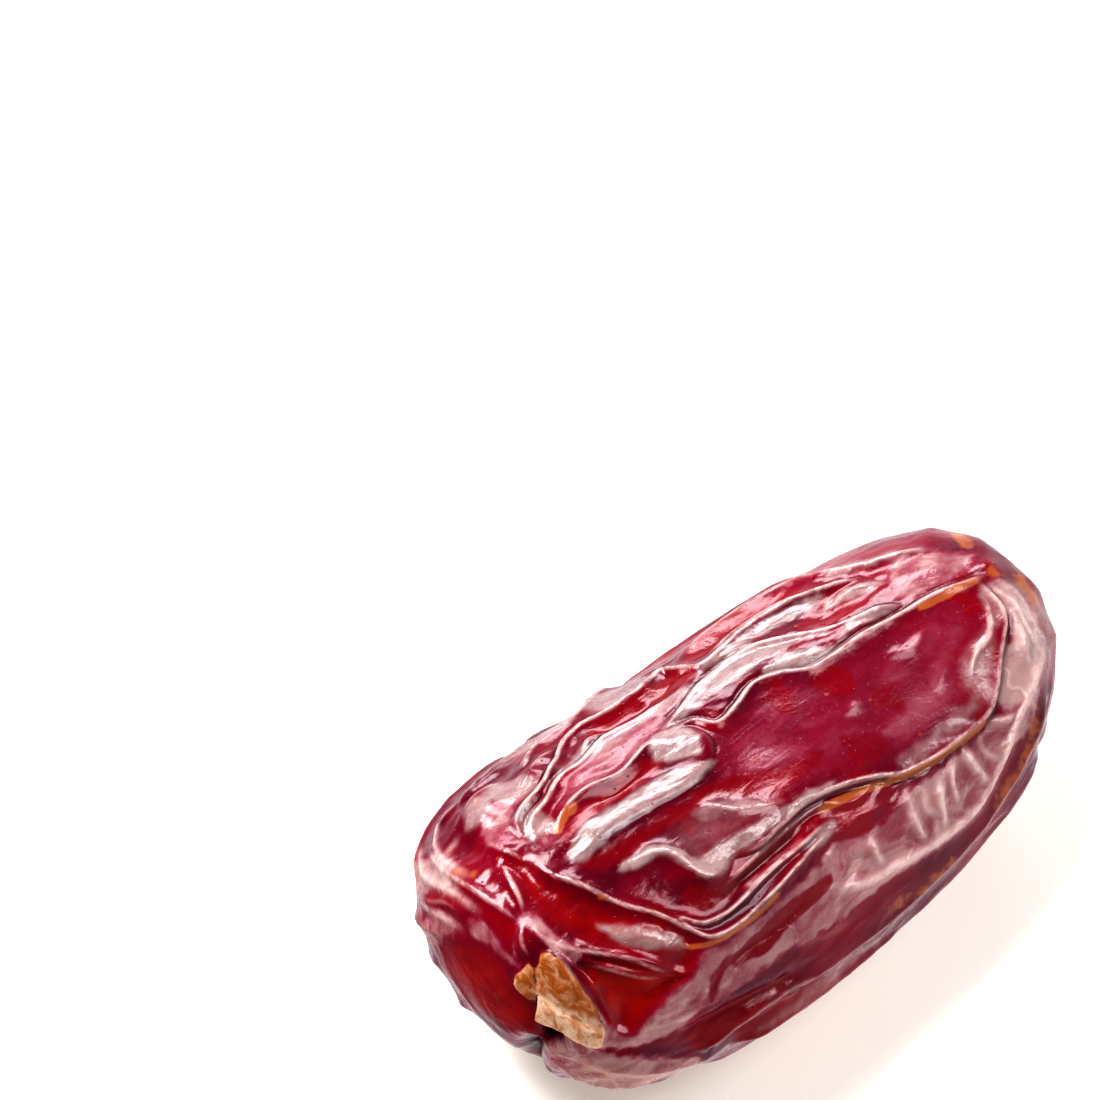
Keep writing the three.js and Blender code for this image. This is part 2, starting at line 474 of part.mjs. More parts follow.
// Directions of the mesh's points: crests first, then the feet of the folds, then the fill
function meshDirections() {
  const taken = [];
  const add = (direction, gap) => {
    const point = bodyPoint(direction);
    if (taken.every((one) => one.point.distanceToSquared(point) > gap * gap)) {
      taken.push({ direction, point });
    }
  };
  const spots = (trace) => {
    const count = Math.max(2, Math.round(trace.length / CREST_STEP));
    const list = [];
    for (let k = 0; k <= count; k += 1) {
      const wanted = (trace.length * k) / count;
      const after = Math.max(1, trace.reached.findIndex((reached) => reached >= wanted - 1e-9));
      const span = trace.reached[after] - trace.reached[after - 1];
      const share = (wanted - trace.reached[after - 1]) / span;
      const direction = trace.directions[after - 1].clone().lerp(trace.directions[after], share);
      const travel = trace.line[after].clone().sub(trace.line[after - 1]).normalize();
      list.push({ direction: direction.normalize(), travel });
    }
    return list;
  };
  // The direction of the point that lies a little to one side of a crest
  const beside = (spot, offset) => {
    const across = new THREE.Vector3().crossVectors(bodyNormal(spot.direction), spot.travel);
    const here = bodyPoint(spot.direction);
    const tilt = 0.002;
    const axes = [new THREE.Vector3(1, 0, 0), new THREE.Vector3(0, 1, 0), new THREE.Vector3(0, 0, 1)];
    const pull = axes.map((axis) => {
      const moved = bodyPoint(spot.direction.clone().addScaledVector(axis, tilt).normalize());
      return moved.sub(here).divideScalar(tilt);
    });
    const shift = new THREE.Vector3(...pull.map((change) => change.dot(across)));
    const gain = pull.reduce((sum, change) => sum + change.dot(across) ** 2, 0);
    return spot.direction.clone().addScaledVector(shift, offset / gain).normalize();
  };
  for (const one of TORN) {
    for (const spot of spots(one.trace)) {
      add(beside(spot, EDGE_OFFSET), EDGE_GAP);
      add(beside(spot, -EDGE_OFFSET), EDGE_GAP);
    }
  }
  for (const one of FOLDS) {
    for (const spot of spots(one.trace)) add(spot.direction, LEAST_GAP);
  }
  for (const one of CREASES) {
    for (const spot of spots(one.trace)) add(spot.direction, LEAST_GAP);
  }
  for (const one of FOLDS) {
    for (const spot of spots(one.trace)) {
      add(beside(spot, FOOT_OFFSET), LEAST_GAP);
      add(beside(spot, -FOOT_OFFSET), LEAST_GAP);
    }
  }
  for (let k = 0; k < FILL_POINTS; k += 1) {
    const x = 1 - (2 * k + 1) / FILL_POINTS;
    const turn = k * Math.PI * (3 - Math.sqrt(5));
    const ring = Math.sqrt(1 - x * x);
    add(new THREE.Vector3(x, ring * Math.cos(turn), ring * Math.sin(turn)), FILL_GAP);
  }
  return taken.map((one) => one.direction);
}

// The triangles between neighbouring directions are the faces of their convex hull.
function skinMesh(directions) {
  const hull = new ConvexHull().setFromPoints(directions);
  const numbers = new Map(directions.map((direction, number) => [direction, number]));
  const triangles = [];
  for (const face of hull.faces) {
    let edge = face.edge;
    do {
      triangles.push(numbers.get(edge.head().point));
      edge = edge.next;
    } while (edge !== face.edge);
  }
  const positions = [];
  for (const direction of directions) {
    const point = bodyPoint(direction);
    const normal = bodyNormal(direction);
    point.addScaledVector(normal, relief(direction, point, normal));
    positions.push(point.x, point.y, point.z);
  }
  return { positions: new Float32Array(positions), triangles: new Uint32Array(triangles) };
}

const wasm = await Module();
wasm.setup();

// The fruit cut flat where it rests
function restingFruit() {
  const { positions, triangles } = skinMesh(meshDirections());
  const mesh = new wasm.Mesh({ numProp: 3, vertProperties: positions, triVerts: triangles });
  const whole = new wasm.Manifold(mesh);
  const floor = whole.boundingBox().min[2] + REST.depth;
  return whole.trimByPlane([0, 0, 1], floor).getMesh();
}

const cut = restingFruit();
const geometry = new THREE.BufferGeometry();
geometry.setAttribute('position', new THREE.BufferAttribute(new Float32Array(cut.vertProperties), 3));
geometry.setIndex(new THREE.BufferAttribute(new Uint32Array(cut.triVerts), 1));
geometry.computeBoundingBox();
const box = geometry.boundingBox;
geometry.translate(-(box.min.x + box.max.x) / 2, -(box.min.y + box.max.y) / 2, -box.min.z);
geometry.computeVertexNormals();

const skin = new THREE.MeshStandardMaterial({ color: 0x8e1220, roughness: 0.3, metalness: 0 });
const date = new THREE.Mesh(geometry, skin);
date.name = 'date';

const fruit = new THREE.Group();
fruit.add(date);

export default fruit;
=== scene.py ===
"""A medjool date on a pale floor under soft studio light, seen as in the photograph.

The CAD solid gives the fruit's place and size. The finer skin made here follows the same body, folds,
creases and swellings, then adds small wrinkles and the finish. Lengths of the fruit are in millimetres
until the mesh is made, and everything else is in metres.
"""
import math

import bpy
import numpy as np
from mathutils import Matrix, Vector, noise


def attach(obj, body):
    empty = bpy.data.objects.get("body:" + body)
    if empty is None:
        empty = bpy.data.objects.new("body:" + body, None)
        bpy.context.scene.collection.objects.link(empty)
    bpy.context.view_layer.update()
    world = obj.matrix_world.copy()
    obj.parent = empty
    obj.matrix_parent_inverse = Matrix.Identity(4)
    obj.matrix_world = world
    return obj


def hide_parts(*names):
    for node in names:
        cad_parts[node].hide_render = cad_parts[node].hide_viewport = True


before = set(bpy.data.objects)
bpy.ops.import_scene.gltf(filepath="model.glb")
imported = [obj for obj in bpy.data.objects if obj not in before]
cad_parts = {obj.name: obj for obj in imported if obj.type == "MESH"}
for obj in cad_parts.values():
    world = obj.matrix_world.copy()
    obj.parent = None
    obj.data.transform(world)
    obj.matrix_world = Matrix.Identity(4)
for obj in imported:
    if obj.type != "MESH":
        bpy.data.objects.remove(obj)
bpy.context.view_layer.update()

MM = 0.001

# The plump body under the folds, as in the CAD source
LENGTH = 58
HALF_WIDTH = 13.8
HALF_HEIGHT = 11.4
TAPER = 0.053
# Powers of the curve that closes each end
STEM_FLAT, STEM_ROUND = 4.2, 2.45
TIP_FLAT, TIP_ROUND = 3.0, 2.9
# How far the ends bend and shift to the side and up
BEND_SIDE, BEND_UP = 1.1, 1.7
STEM_SHIFT_SIDE, STEM_SHIFT_UP, STEM_SHIFT_POWER = -1.5, 2.0, 6
TIP_LIFT, TIP_LIFT_POWER = 1.8, 4
# How far the skin between the folds lies below the body
SKIN_DROP = 0.35
# How far from its line a fold lifts the skin, how long its ends take to fade, and how sharply folds
# that meet give way to the higher one
FOLD_REACH, FOLD_FADE, BLEND = 6, 3, 3
# How far beyond its flank the crease at a fold's foot lies, and its half width
CREASE_OUT, CREASE_HALF_WIDTH = 0.1, 0.2
# The flat spot that the fruit rests on
REST_HALF_LENGTH, REST_HALF_WIDTH, REST_DEPTH = 17, 6.5, 0.65

# The pale line painted on a crest as its highlight: its half width, how much wider it gets where the mesh
# is coarser, and the roundness of crest over which it fades away
CREST_HALF_WIDTH, CREST_SPREAD = 0.18, 0.12
CRISP, ROUND = 0.1, 0.4
# The height of fold, depth of crease and height of scar at which their marks are full
FULL_CREST, FULL_FOOT, FULL_SCAR = 0.4, 0.1, 0.5
# How clear the sunken panels are, how far noise moves an area's edge at most, and how squarely the
# skin has to face an area to be marked by it
SUNKEN_CLEARNESS, MOST_JITTER, LEAST_FACING = 0.7, 0.4, 0.15
# How far round an area's outline its points are looked for, and how long a stripe's ends take to fade
AREA_MARGIN, STRIPE_FADE = 3, 1.2

# Colours, in linear light
RUBY = (0.23, 0.0012, 0.025)
MAROON = (0.115, 0.0008, 0.02)
CHERRY = (0.29, 0.0008, 0.007)
# Painted shade, for the feet of folds and the hollows
PAINTED_SHADE = (0.035, 0.0003, 0.005)
ROSE = (0.49, 0.325, 0.31)
MAGENTA = (0.26, 0.022, 0.062)
PEARL = (0.43, 0.33, 0.32)
PALE_PINK = (0.78, 0.60, 0.57)
EMBER = (0.42, 0.012, 0.004)
AMBER_COLOUR = (0.46, 0.165, 0.05)
TAN = (0.68, 0.49, 0.36)
BROWNED = (0.48, 0.21, 0.09)
RUST = (0.36, 0.11, 0.018)

# The mesh: cells along each edge of the cube it is drawn on, and how strongly they gather on the
# side and end that face the camera
CELLS = 127
GATHER = Vector((-0.17, -0.18, 0.22))


# Folds, creases and swellings
#
# A place on the skin is (m, a). m is the distance in mm from the stem end along the skin, about 72 at
# the tip. a is the angle in degrees about the long axis, 0 on top, 90 on the -Y side, 180 underneath
# and -90 on the +Y side.

# Lines of thin folds that also show as pale web
SECOND_RIB = [(35.5, 55), (35, 61), (35.5, 68)]
THIRD_RIB = [(40, 50), (39.4, 57), (39.4, 64), (40, 72)]
FIFTH_RIB = [(45.5, 52), (44, 58), (44, 69)]
SIXTH_RIB = [(46.4, 52), (46.5, 60), (47.5, 73)]
LAST_RIB = [(50, 53), (51.5, 58), (53, 60)]
TIP_RIM = [(58, 15), (58, 27), (58, 38), (57, 47), (57, 57)]
TIP_FOLD = [(58.5, 17), (59.4, 30), (58.7, 44), (59, 59)]
HIGH_END_FOLD = [(9.4, -20), (9.6, -34), (10.4, -46), (12.5, -54), (15, -56)]
MIDDLE_END_FOLD = [(7.4, -8), (7.6, -28), (7.8, -46), (9, -62), (11.5, -70)]
LOW_END_FOLD = [(5, -20), (5.4, -46), (6.6, -68), (8.6, -84)]

# Kinds of fold that recur, by the first five values that FOLDS gives
RIB = (0.4, 0.35, 0.35, 0, 0.12)
FINE = (0.3, 0.4, 0.4, 0, 0.2)
PINCHED = (0.35, 0.4, 0.4, 0, 0.2)
END_FOLD = (0.45, 0.45, 0.45, 0, 0.25)
PLEAT = (0.45, 0.7, 0.7, 0, 0.3)
LINK = (0.5, 0.6, 0.6, 0, 0.25)
UNDER_FOLD = (0.8, 0.9, 0.8, 0.3, 0.3)
UNDER_RIDGE = (0.6, 0.7, 0.7, 0.2, 0.3)

# Height, width of the flank on the left and on the right of the way the points run, depth of the
# crease at the right foot, or below 0 at the left foot, roundness of the crest, and the points
FOLDS = [
    # The rim of the stem end, which turns into the double ridge of the near shoulder
    (0.34, 0.4, 0.3, 0, 0.12, [
        (13.5, 1), (13.5, 6), (14.5, 16), (16, 29), (17.5, 36.5), (19, 46), (20, 51), (22, 52),
        (26, 49.5), (30, 46), (33, 44.5)]),
    (0.35, 0.35, 0.3, 0.05, 0.1, [
        (18, 37), (19, 42), (20, 46), (22, 47), (26, 44), (29, 43), (33, 42)]),
    # The near shoulder, from the middle of the fruit to the tip
    (0.45, 1.6, 0.3, 0.15, 0.1, [
        (24.5, 33.5), (26.5, 35.5), (29, 34.5), (32, 33.5), (35, 35.5), (38, 40), (40, 44.5),
        (43, 47.5), (47, 49.5), (50.5, 50), (52.5, 45), (54.5, 38.5), (57, 32), (58, 24), (58, 12)]),
    (0.3, 0.4, 0.3, 0.08, 0.12, [(22, 40.5), (25, 38.5), (28, 37), (32, 36), (34.5, 37.5)]),
    # The step on top behind the rim, and the folds that leave it
    (0.6, 0.45, 1.0, 0.0, 0.2, [
        (17.5, 20), (19, 19.5), (20.5, 21.5), (21.2, 26), (21.6, 32), (22.5, 35.5), (24.5, 33.5)]),
    (0.45, 0.7, 0.7, 0, 0.25, [(24, 19), (25.5, 18.5), (27, 24), (29, 28), (32, 31)]),
    # The broad ridge along the top, which hooks back round the hollow beside it
    (0.42, 0.8, 0.6, 0.08, 1.0, [
        (15.5, 7), (18, 6), (23, 7), (27, 7.5), (29, 3), (29.5, -4), (28.5, -9)]),
    (0.5, 0.6, 0.6, 0, 0.2, [(16, -2), (17.5, -6), (20, -8), (23, -6), (26, -9), (28.5, -9.5)]),
    # The long fold above the great panel, which runs on to the tip
    (0.5, 0.35, 0.6, -0.15, 0.15, [
        (28.5, -10), (30.5, -8), (31.5, -2.5), (33.5, -3.5), (36.5, -7), (38.5, -4.5), (40.5, 0.5),
        (42.5, 1.5), (46, 2), (50, 4), (54, 6), (57, 10.5), (60, 14.5)]),
    (0.4, 0.5, 0.5, 0, 0.2, [(38, -8.5), (40, -7), (42, -3), (43.5, -0.5)]),
    (0.5, 0.35, 0.6, -0.15, 0.15, [
        (28, -11), (31, -14.5), (34, -19), (37, -21), (39.5, -20.5), (42, -15), (44.5, -8),
        (47, -5), (49.5, -2.5), (51.5, 2)]),
    # Broad soft folds between the crisp ones
    (0.4, 0.8, 0.8, 0, 1.3, [(29, -13), (33, -13), (37, -15), (41, -9), (45, -3), (49, 0)]),
    (0.35, 0.8, 0.8, 0, 1.2, [(18, -13), (22, -13), (27, -16), (32, -20), (36, -25), (41, -26)]),
    (0.35, 0.8, 0.8, 0, 1.2, [(17, -25), (20, -30), (23, -36)]),
    (0.35, 0.9, 0.9, 0, 1.2, [(24, 29), (28, 31), (33, 30), (37, 33)]),
    (0.3, 0.9, 0.9, 0, 1.2, [(52, -8), (55, -5), (59, -2)]),
    # The folds of the far shoulder
    (0.5, 0.4, 0.5, -0.12, 0.15, [
        (15, -5), (15.5, -11), (18, -14), (20, -18), (22, -18), (25, -22), (28, -21), (32, -22)]),
    (0.4, 0.5, 0.5, 0, 0.2, [(22, -17), (23.5, -24), (24.7, -26), (27, -21.5)]),
    (0.7, 0.4, 0.5, -0.15, 0.15, [
        (14.7, -9), (15, -15), (18, -18.5), (21, -25), (23, -31), (25.5, -34), (28, -33),
        (31, -34.5), (33.8, -38), (34.6, -32), (35.6, -26), (38.5, -28), (41.5, -30.5),
        (46, -28.5), (49, -23), (52, -18.5)]),
    (0.5, 0.5, 0.5, 0, 0.2, [(36.5, -32), (39, -32), (42, -34.5), (46, -32), (48.5, -26)]),
    (0.65, 0.5, 0.5, -0.15, 0.15, [
        (18, -32), (20, -35), (22, -40), (25.5, -41.5), (28, -48), (30.5, -58), (34, -66)]),
    (0.5, 0.5, 0.5, 0, 0.2, [(18.5, -28), (21, -31.5), (23, -32)]),
    (0.6, 0.7, 0.6, -0.15, 0.2, [
        (36, -40), (40, -46), (45, -49), (48.5, -44), (50.5, -34), (52.5, -25), (55, -19.5),
        (58.5, -14)]),
    (0.4, 0.5, 0.5, 0, 0.3, [(47.5, -17), (50, -16), (52, -13)]),
    # The near side: one long fold, and the ribs that web it to the shoulder
    (0.45, 0.5, 0.6, 0, 0.15, [
        (30, 61), (34, 68), (37, 70.5), (41, 74), (45.5, 75.5), (49, 71), (52, 63.5), (54, 60.5),
        (57, 58), (60.5, 53)]),
    (0.3, 0.35, 0.35, 0, 0.12, SECOND_RIB),
    (0.45, 0.35, 0.5, 0, 0.12, THIRD_RIB),
    (*RIB, [(43.3, 56), (42.2, 63), (42, 74)]),
    (*RIB, FIFTH_RIB),
    (*RIB, SIXTH_RIB),
    (0.35, 0.35, 0.35, 0, 0.12, LAST_RIB),
    (0.6, 0.8, 0.7, 0.2, 0.25, [
        (16.5, 100), (18, 91), (20.5, 86), (24, 85), (28, 88), (33, 90), (40, 89), (47, 86),
        (53, 80), (58, 72)]),
    # Round the tip
    (0.45, 0.5, 0.5, 0, 0.3, TIP_RIM),
    (*PINCHED, TIP_FOLD),
    (0.4, 0.45, 0.4, 0, 0.12, [(50.3, 38), (52, 32), (54.5, 30.5), (56.5, 24), (57.5, 17)]),
    (0.22, 0.7, 0.7, 0, 0.4, [(58, 12), (61, 8), (64, -5), (67, -30)]),
    (0.25, 0.7, 0.7, 0, 0.4, [(60, 16), (63, 26), (65.5, 45), (68, 80)]),
    (0.22, 0.7, 0.7, 0, 0.4, [(58.5, -14), (61, -25), (64, -45), (67, -80)]),
    (0.3, 0.7, 0.7, 0, 0.4, [(60.5, 53), (63, 66), (65.5, 90), (68, 130)]),
    (*PLEAT, [(56, 104), (60, 108), (64, 120), (68, 160)]),
    (*PLEAT, [(57, 146), (61, 152), (65, 170), (68, 205)]),
    (*PLEAT, [(57, 196), (61, 202), (65, 214), (68, 245)]),
    (*PLEAT, [(57, 240), (61, 244), (65, 256), (68, 285)]),
    # Small wrinkles in the great panel
    (0.25, 0.35, 0.35, 0, 0.15, [(45.5, 14), (46.5, 13), (48, 15.5), (49.5, 15), (51, 13)]),
    (0.2, 0.35, 0.35, 0, 0.15, [(39.5, 19), (40.8, 19), (42.2, 19.7)]),
    (0.2, 0.5, 0.5, 0, 0.2, [(47, 32.5), (48.6, 29.5), (50.2, 27)]),
    # The end face, where the folds run together round the torn scar
    (*RIB, [(12, -11), (11.2, -2), (10.5, 7), (9.5, 14)]),
    (0.36, 0.4, 0.4, 0, 0.2, [
        (9.5, 14), (10, 26), (10.8, 32), (12, 37), (14, 44.5), (15.6, 53), (17, 58.5)]),
    (*PINCHED, [(10.3, 39), (12, 44), (14.5, 54), (16.5, 58)]),
    (0.33, 0.4, 0.4, 0, 0.2, [(9.5, 14), (9.9, 30), (10, 50), (10.5, 68), (10.5, 80)]),
    (0.38, 0.4, 0.4, 0, 0.2, [
        (9.5, 14), (8.9, 2), (8.7, -12), (8.8, -30), (9.5, -44), (11, -58)]),
    (*PINCHED, [(9.5, 14), (8.3, 20), (7.8, 30)]),
    (0.4, 0.5, 0.5, 0, 0.2, [(12.2, -24), (12.6, -13), (12.9, -7), (13.5, 1)]),
    (0.45, 0.8, 0.8, 0, 0.5, [(14, 32), (16, 41.5), (18.5, 51)]),
    (0.35, 0.5, 0.5, 0, 0.3, [
        (10.5, 72), (12, 76), (13.3, 70), (15.5, 63), (17.5, 59), (20, 54)]),
    (*END_FOLD, [(6, -10), (6.6, -30), (6.5, -52), (8, -74)]),
    (0.4, 0.45, 0.45, 0, 0.25, [(4, -45), (4.8, -75), (7, -96), (10, -108)]),
    (*END_FOLD, [(11, -58), (13, -52), (15.5, -47), (18, -45), (20, -48)]),
    (*END_FOLD, [(8, -74), (11, -72), (14.5, -66), (19, -62), (23, -64)]),
    (0.4, 0.45, 0.45, 0, 0.25, [(12.5, -40), (14.5, -38), (17, -39), (19, -42)]),
    (*FINE, HIGH_END_FOLD),
    (*FINE, MIDDLE_END_FOLD),
    (0.28, 0.4, 0.4, 0, 0.2, LOW_END_FOLD),
    (*FINE, [(13.3, -40), (14.4, -46), (17, -50), (21, -52), (25, -57)]),
    (0.5, 0.7, 0.7, 0, 0.3, [(9, 96), (12, 100), (16.5, 101), (20, 104)]),
    (*PLEAT, [(7, 118), (10, 122), (14, 120), (18, 124)]),
    (*PLEAT, [(6, 150), (9, 146), (13, 150), (17, 147)]),
    (*PLEAT, [(5, -160), (9, -158), (13, -164), (18, -162)]),
    (*PLEAT, [(5, -125), (9, -128), (13, -124), (18, -129)]),
    # The underside and the two sides that turn under it
    (*UNDER_FOLD, [
        (20, 104), (25, 103), (31, 107), (37, 105), (44, 109), (51, 104), (57, 97)]),
    (*UNDER_RIDGE, [
        (18, 124), (24, 119), (31, 122), (39, 119), (46, 123), (52, 118)]),
    (*LINK, [(25, 103), (28, 110), (31, 122)]),
    (*LINK, [(37, 105), (40, 112), (46, 123)]),
    (*UNDER_FOLD, [
        (17, 147), (22, 136), (28, 139), (35, 134), (42, 138), (49, 133), (56, 127)]),
    (*UNDER_RIDGE, [
        (20, 155), (27, 152), (34, 156), (42, 152), (49, 156), (57, 146)]),
    (0.5, 0.7, 0.7, 0, 0.3, [(16, 178), (22, 174), (30, 177), (38, 173), (46, 177), (54, 172)]),
    (*UNDER_RIDGE, [
        (18, -162), (24, -166), (31, -161), (39, -166), (47, -161), (57, -164)]),
    (0.7, 0.8, 0.8, 0.2, 0.3, [
        (15, -145), (21, -149), (28, -144), (35, -148), (42, -143), (49, -147), (55, -142)]),
    (*UNDER_FOLD, [
        (18, -129), (24, -126), (31, -131), (38, -126), (45, -130), (52, -125), (57, -120)]),
    (*LINK, [(28, -144), (31, -138), (31, -131)]),
    (*UNDER_RIDGE, [
        (10, -108), (16, -112), (22, -107), (29, -113), (36, -108), (43, -112), (50, -106),
        (57, -109)]),
    (*LINK, [(36, -108), (39, -116), (38, -126)]),
    (0.7, 0.8, 0.8, 0.2, 0.3, [
        (14, -92), (20, -96), (27, -91), (33, -95), (40, -90), (47, -94), (53, -89), (59, -92)]),
    (0.6, 0.7, 0.7, 0.2, 0.25, [
        (23, -64), (28, -74), (33, -79), (39, -75), (44, -79), (50, -74), (57, -78)]),
    (*LINK, [(33, -79), (36, -70), (41, -62), (46, -60), (52, -56)]),
    (0.4, 0.6, 0.6, 0, 0.25, [(20, -96), (23, -88), (28, -74)]),
]

# Depth, half width and the points
CREASES = [
    # The cleft at the stem end, open under the scar and closing on the underside
    (2.7, 0.85, [(4.8, 58), (5.6, 68), (6.1, 80), (5.9, 96), (5.4, 112)]),
    (1.5, 0.85, [(5.6, 100), (5.4, 115), (5.8, 134), (7.4, 149), (11, 158)]),
    # The deep fold line low on the near side
    (0.4, 0.6, [(14.5, 84), (17, 80.5), (21, 79.5), (24, 81), (27, 83)]),
    (0.4, 1.0, [(18, 98), (22, 95), (26, 96), (30, 99)]),
    (0.25, 0.8, [(19, 63), (22, 62), (26, 60.5), (30, 59)]),
    (0.45, 0.9, [(24, -28), (28, -27), (32, -28), (34, -31)]),
    (0.45, 1.0, [(36, -36), (41, -40), (46, -40), (49, -36)]),
    (0.4, 0.7, [(19, -3), (22, -2), (25, -3)]),
    (0.35, 0.6, [(22, 43), (26, 41), (31, 39.5)]),
]

# Height, m, a, half length and half width in mm
SWELLINGS = [
    (0.45, 26, 29, 5, 1.6),
    (0.5, 27.6, -4, 1.8, 1.4),
    (-0.25, 33, 10, 2.6, 1.9),
    (-0.4, 46, -14.5, 1.7, 1.2),
    (-0.3, 43, 26, 5, 2.5),
    (-0.35, 12.2, 18, 1.4, 3.5),
    (-0.4, 12.4, 62, 1.6, 2.4),
    (0.6, 14.3, -30, 1.8, 1.8),
    (-0.5, 11.4, -28, 1.2, 1.6),
    (0.3, 60.3, 14.5, 1.5, 1.3),
    (0.45, 40, 82, 7, 1.8),
    # The small point at the tip
    (0.5, 71.6, 0, 1.6, 1.6),
]


# Finish of the skin and light painted on it: soft-edged stripes and patches, each with its own colour in
# the material
#
# Amber seams where the skin is thin: half width, strength and the points
AMBER = [
    (0.34, 1.0, [(32, 37.5), (36, 40.5), (39, 44.5), (42, 48), (46, 50.5), (50, 52)]),
    (0.3, 0.8, [(17.5, 49), (19.5, 52.5), (22.5, 53.5), (27, 51)]),
    (0.35, 1.0, [(51, 6.5), (54, 8.5), (56.5, 11), (58.5, 13.5)]),
    (0.7, 0.9, [(59.4, 14), (61, 15)]),
    (1.2, 0.7, [(61.5, 20), (62.8, 35), (62.5, 48)]),
    (1.0, 0.7, [(61, -2), (62.5, -12), (64, -30)]),
    (0.4, 1.0, [(15.7, -1.5), (17.2, -4.5), (19.2, -6)]),
    (0.6, 0.6, [(9.2, -34), (9.6, -22), (10.2, -12)]),
    (0.8, 0.5, [(13.5, -36), (15, -34), (15.5, -28)]),
    (0.4, 0.5, [(12.4, 9), (12.9, 16)]),
    (0.3, 0.7, [(14.8, 21), (15.4, 26)]),
    (0.8, 0.6, [(47, 84), (50, 81), (53, 77), (56, 70)]),
    (0.8, 0.55, [(34, 84), (39, 87), (43, 87)]),
    (2.0, 0.5, [(8, 102), (13, 110), (18, 112)]),
    (0.35, 0.8, [(24, -142), (30, -139), (36, -144), (42, -140)]),
    (0.35, 0.7, [(22, 122), (28, 126), (35, 121)]),
    (0.45, 0.7, [(38, -93), (44, -95), (50, -92)]),
    (1.0, 0.7, [(63, 110), (65, 150)]),
    (1.0, 0.7, [(63, -125), (65, -90)]),
    (0.9, 0.6, [(24, -70), (30, -76), (34, -78)]),
]

# The pale web of thin folds on the near side and round the tip: half width, strength and the points
WEB = [
    (0.5, 0.9, THIRD_RIB),
    (0.35, 0.8, [(41.6, 53), (40.9, 60), (41.5, 66), (40.5, 73)]),
    (0.45, 1.0, [(43.3, 55), (42.2, 63), (42, 74)]),
    (0.35, 0.9, FIFTH_RIB),
    (0.45, 1.0, SIXTH_RIB),
    (0.3, 0.7, [(48.4, 53), (48.2, 60), (49.5, 69)]),
    (0.35, 0.9, LAST_RIB),
    (0.4, 0.8, [(30, 61), (34, 68), (37, 70.5), (41, 74), (45.5, 75.5), (49, 71), (52, 63.5), (57, 58)]),
    (0.35, 0.7, SECOND_RIB),
    (0.35, 0.8, TIP_RIM),
    (0.3, 0.9, TIP_FOLD),
    (0.3, 0.8, [(59.5, 17), (61, 30), (60.4, 46), (60.5, 60)]),
    (0.3, 0.7, [(56, 58), (59, 50), (62, 40)]),
    (0.3, 0.6, [(7.5, -30), (9.4, -38), (12, -37)]),
    (0.3, 0.7, HIGH_END_FOLD),
    (0.3, 0.7, MIDDLE_END_FOLD),
    (0.3, 0.6, LOW_END_FOLD),
]

# Areas with an outline of their own: strength, softness of the edge in mm, and the outline

def on_end(outline):
    """An outline on the end face, from distances across to the -Y side and up from its middle."""
    return [(math.hypot(across, up), math.degrees(math.atan2(across, up))) for across, up in outline]


# The large clear panel on top
GREAT_PANEL = [
    (30, 5), (33, 1), (36, -2), (39, 0), (42, 5), (50, 8), (55, 12), (56, 20), (52, 29), (48, 38),
    (42, 40), (37, 34), (32, 29), (29, 20)]
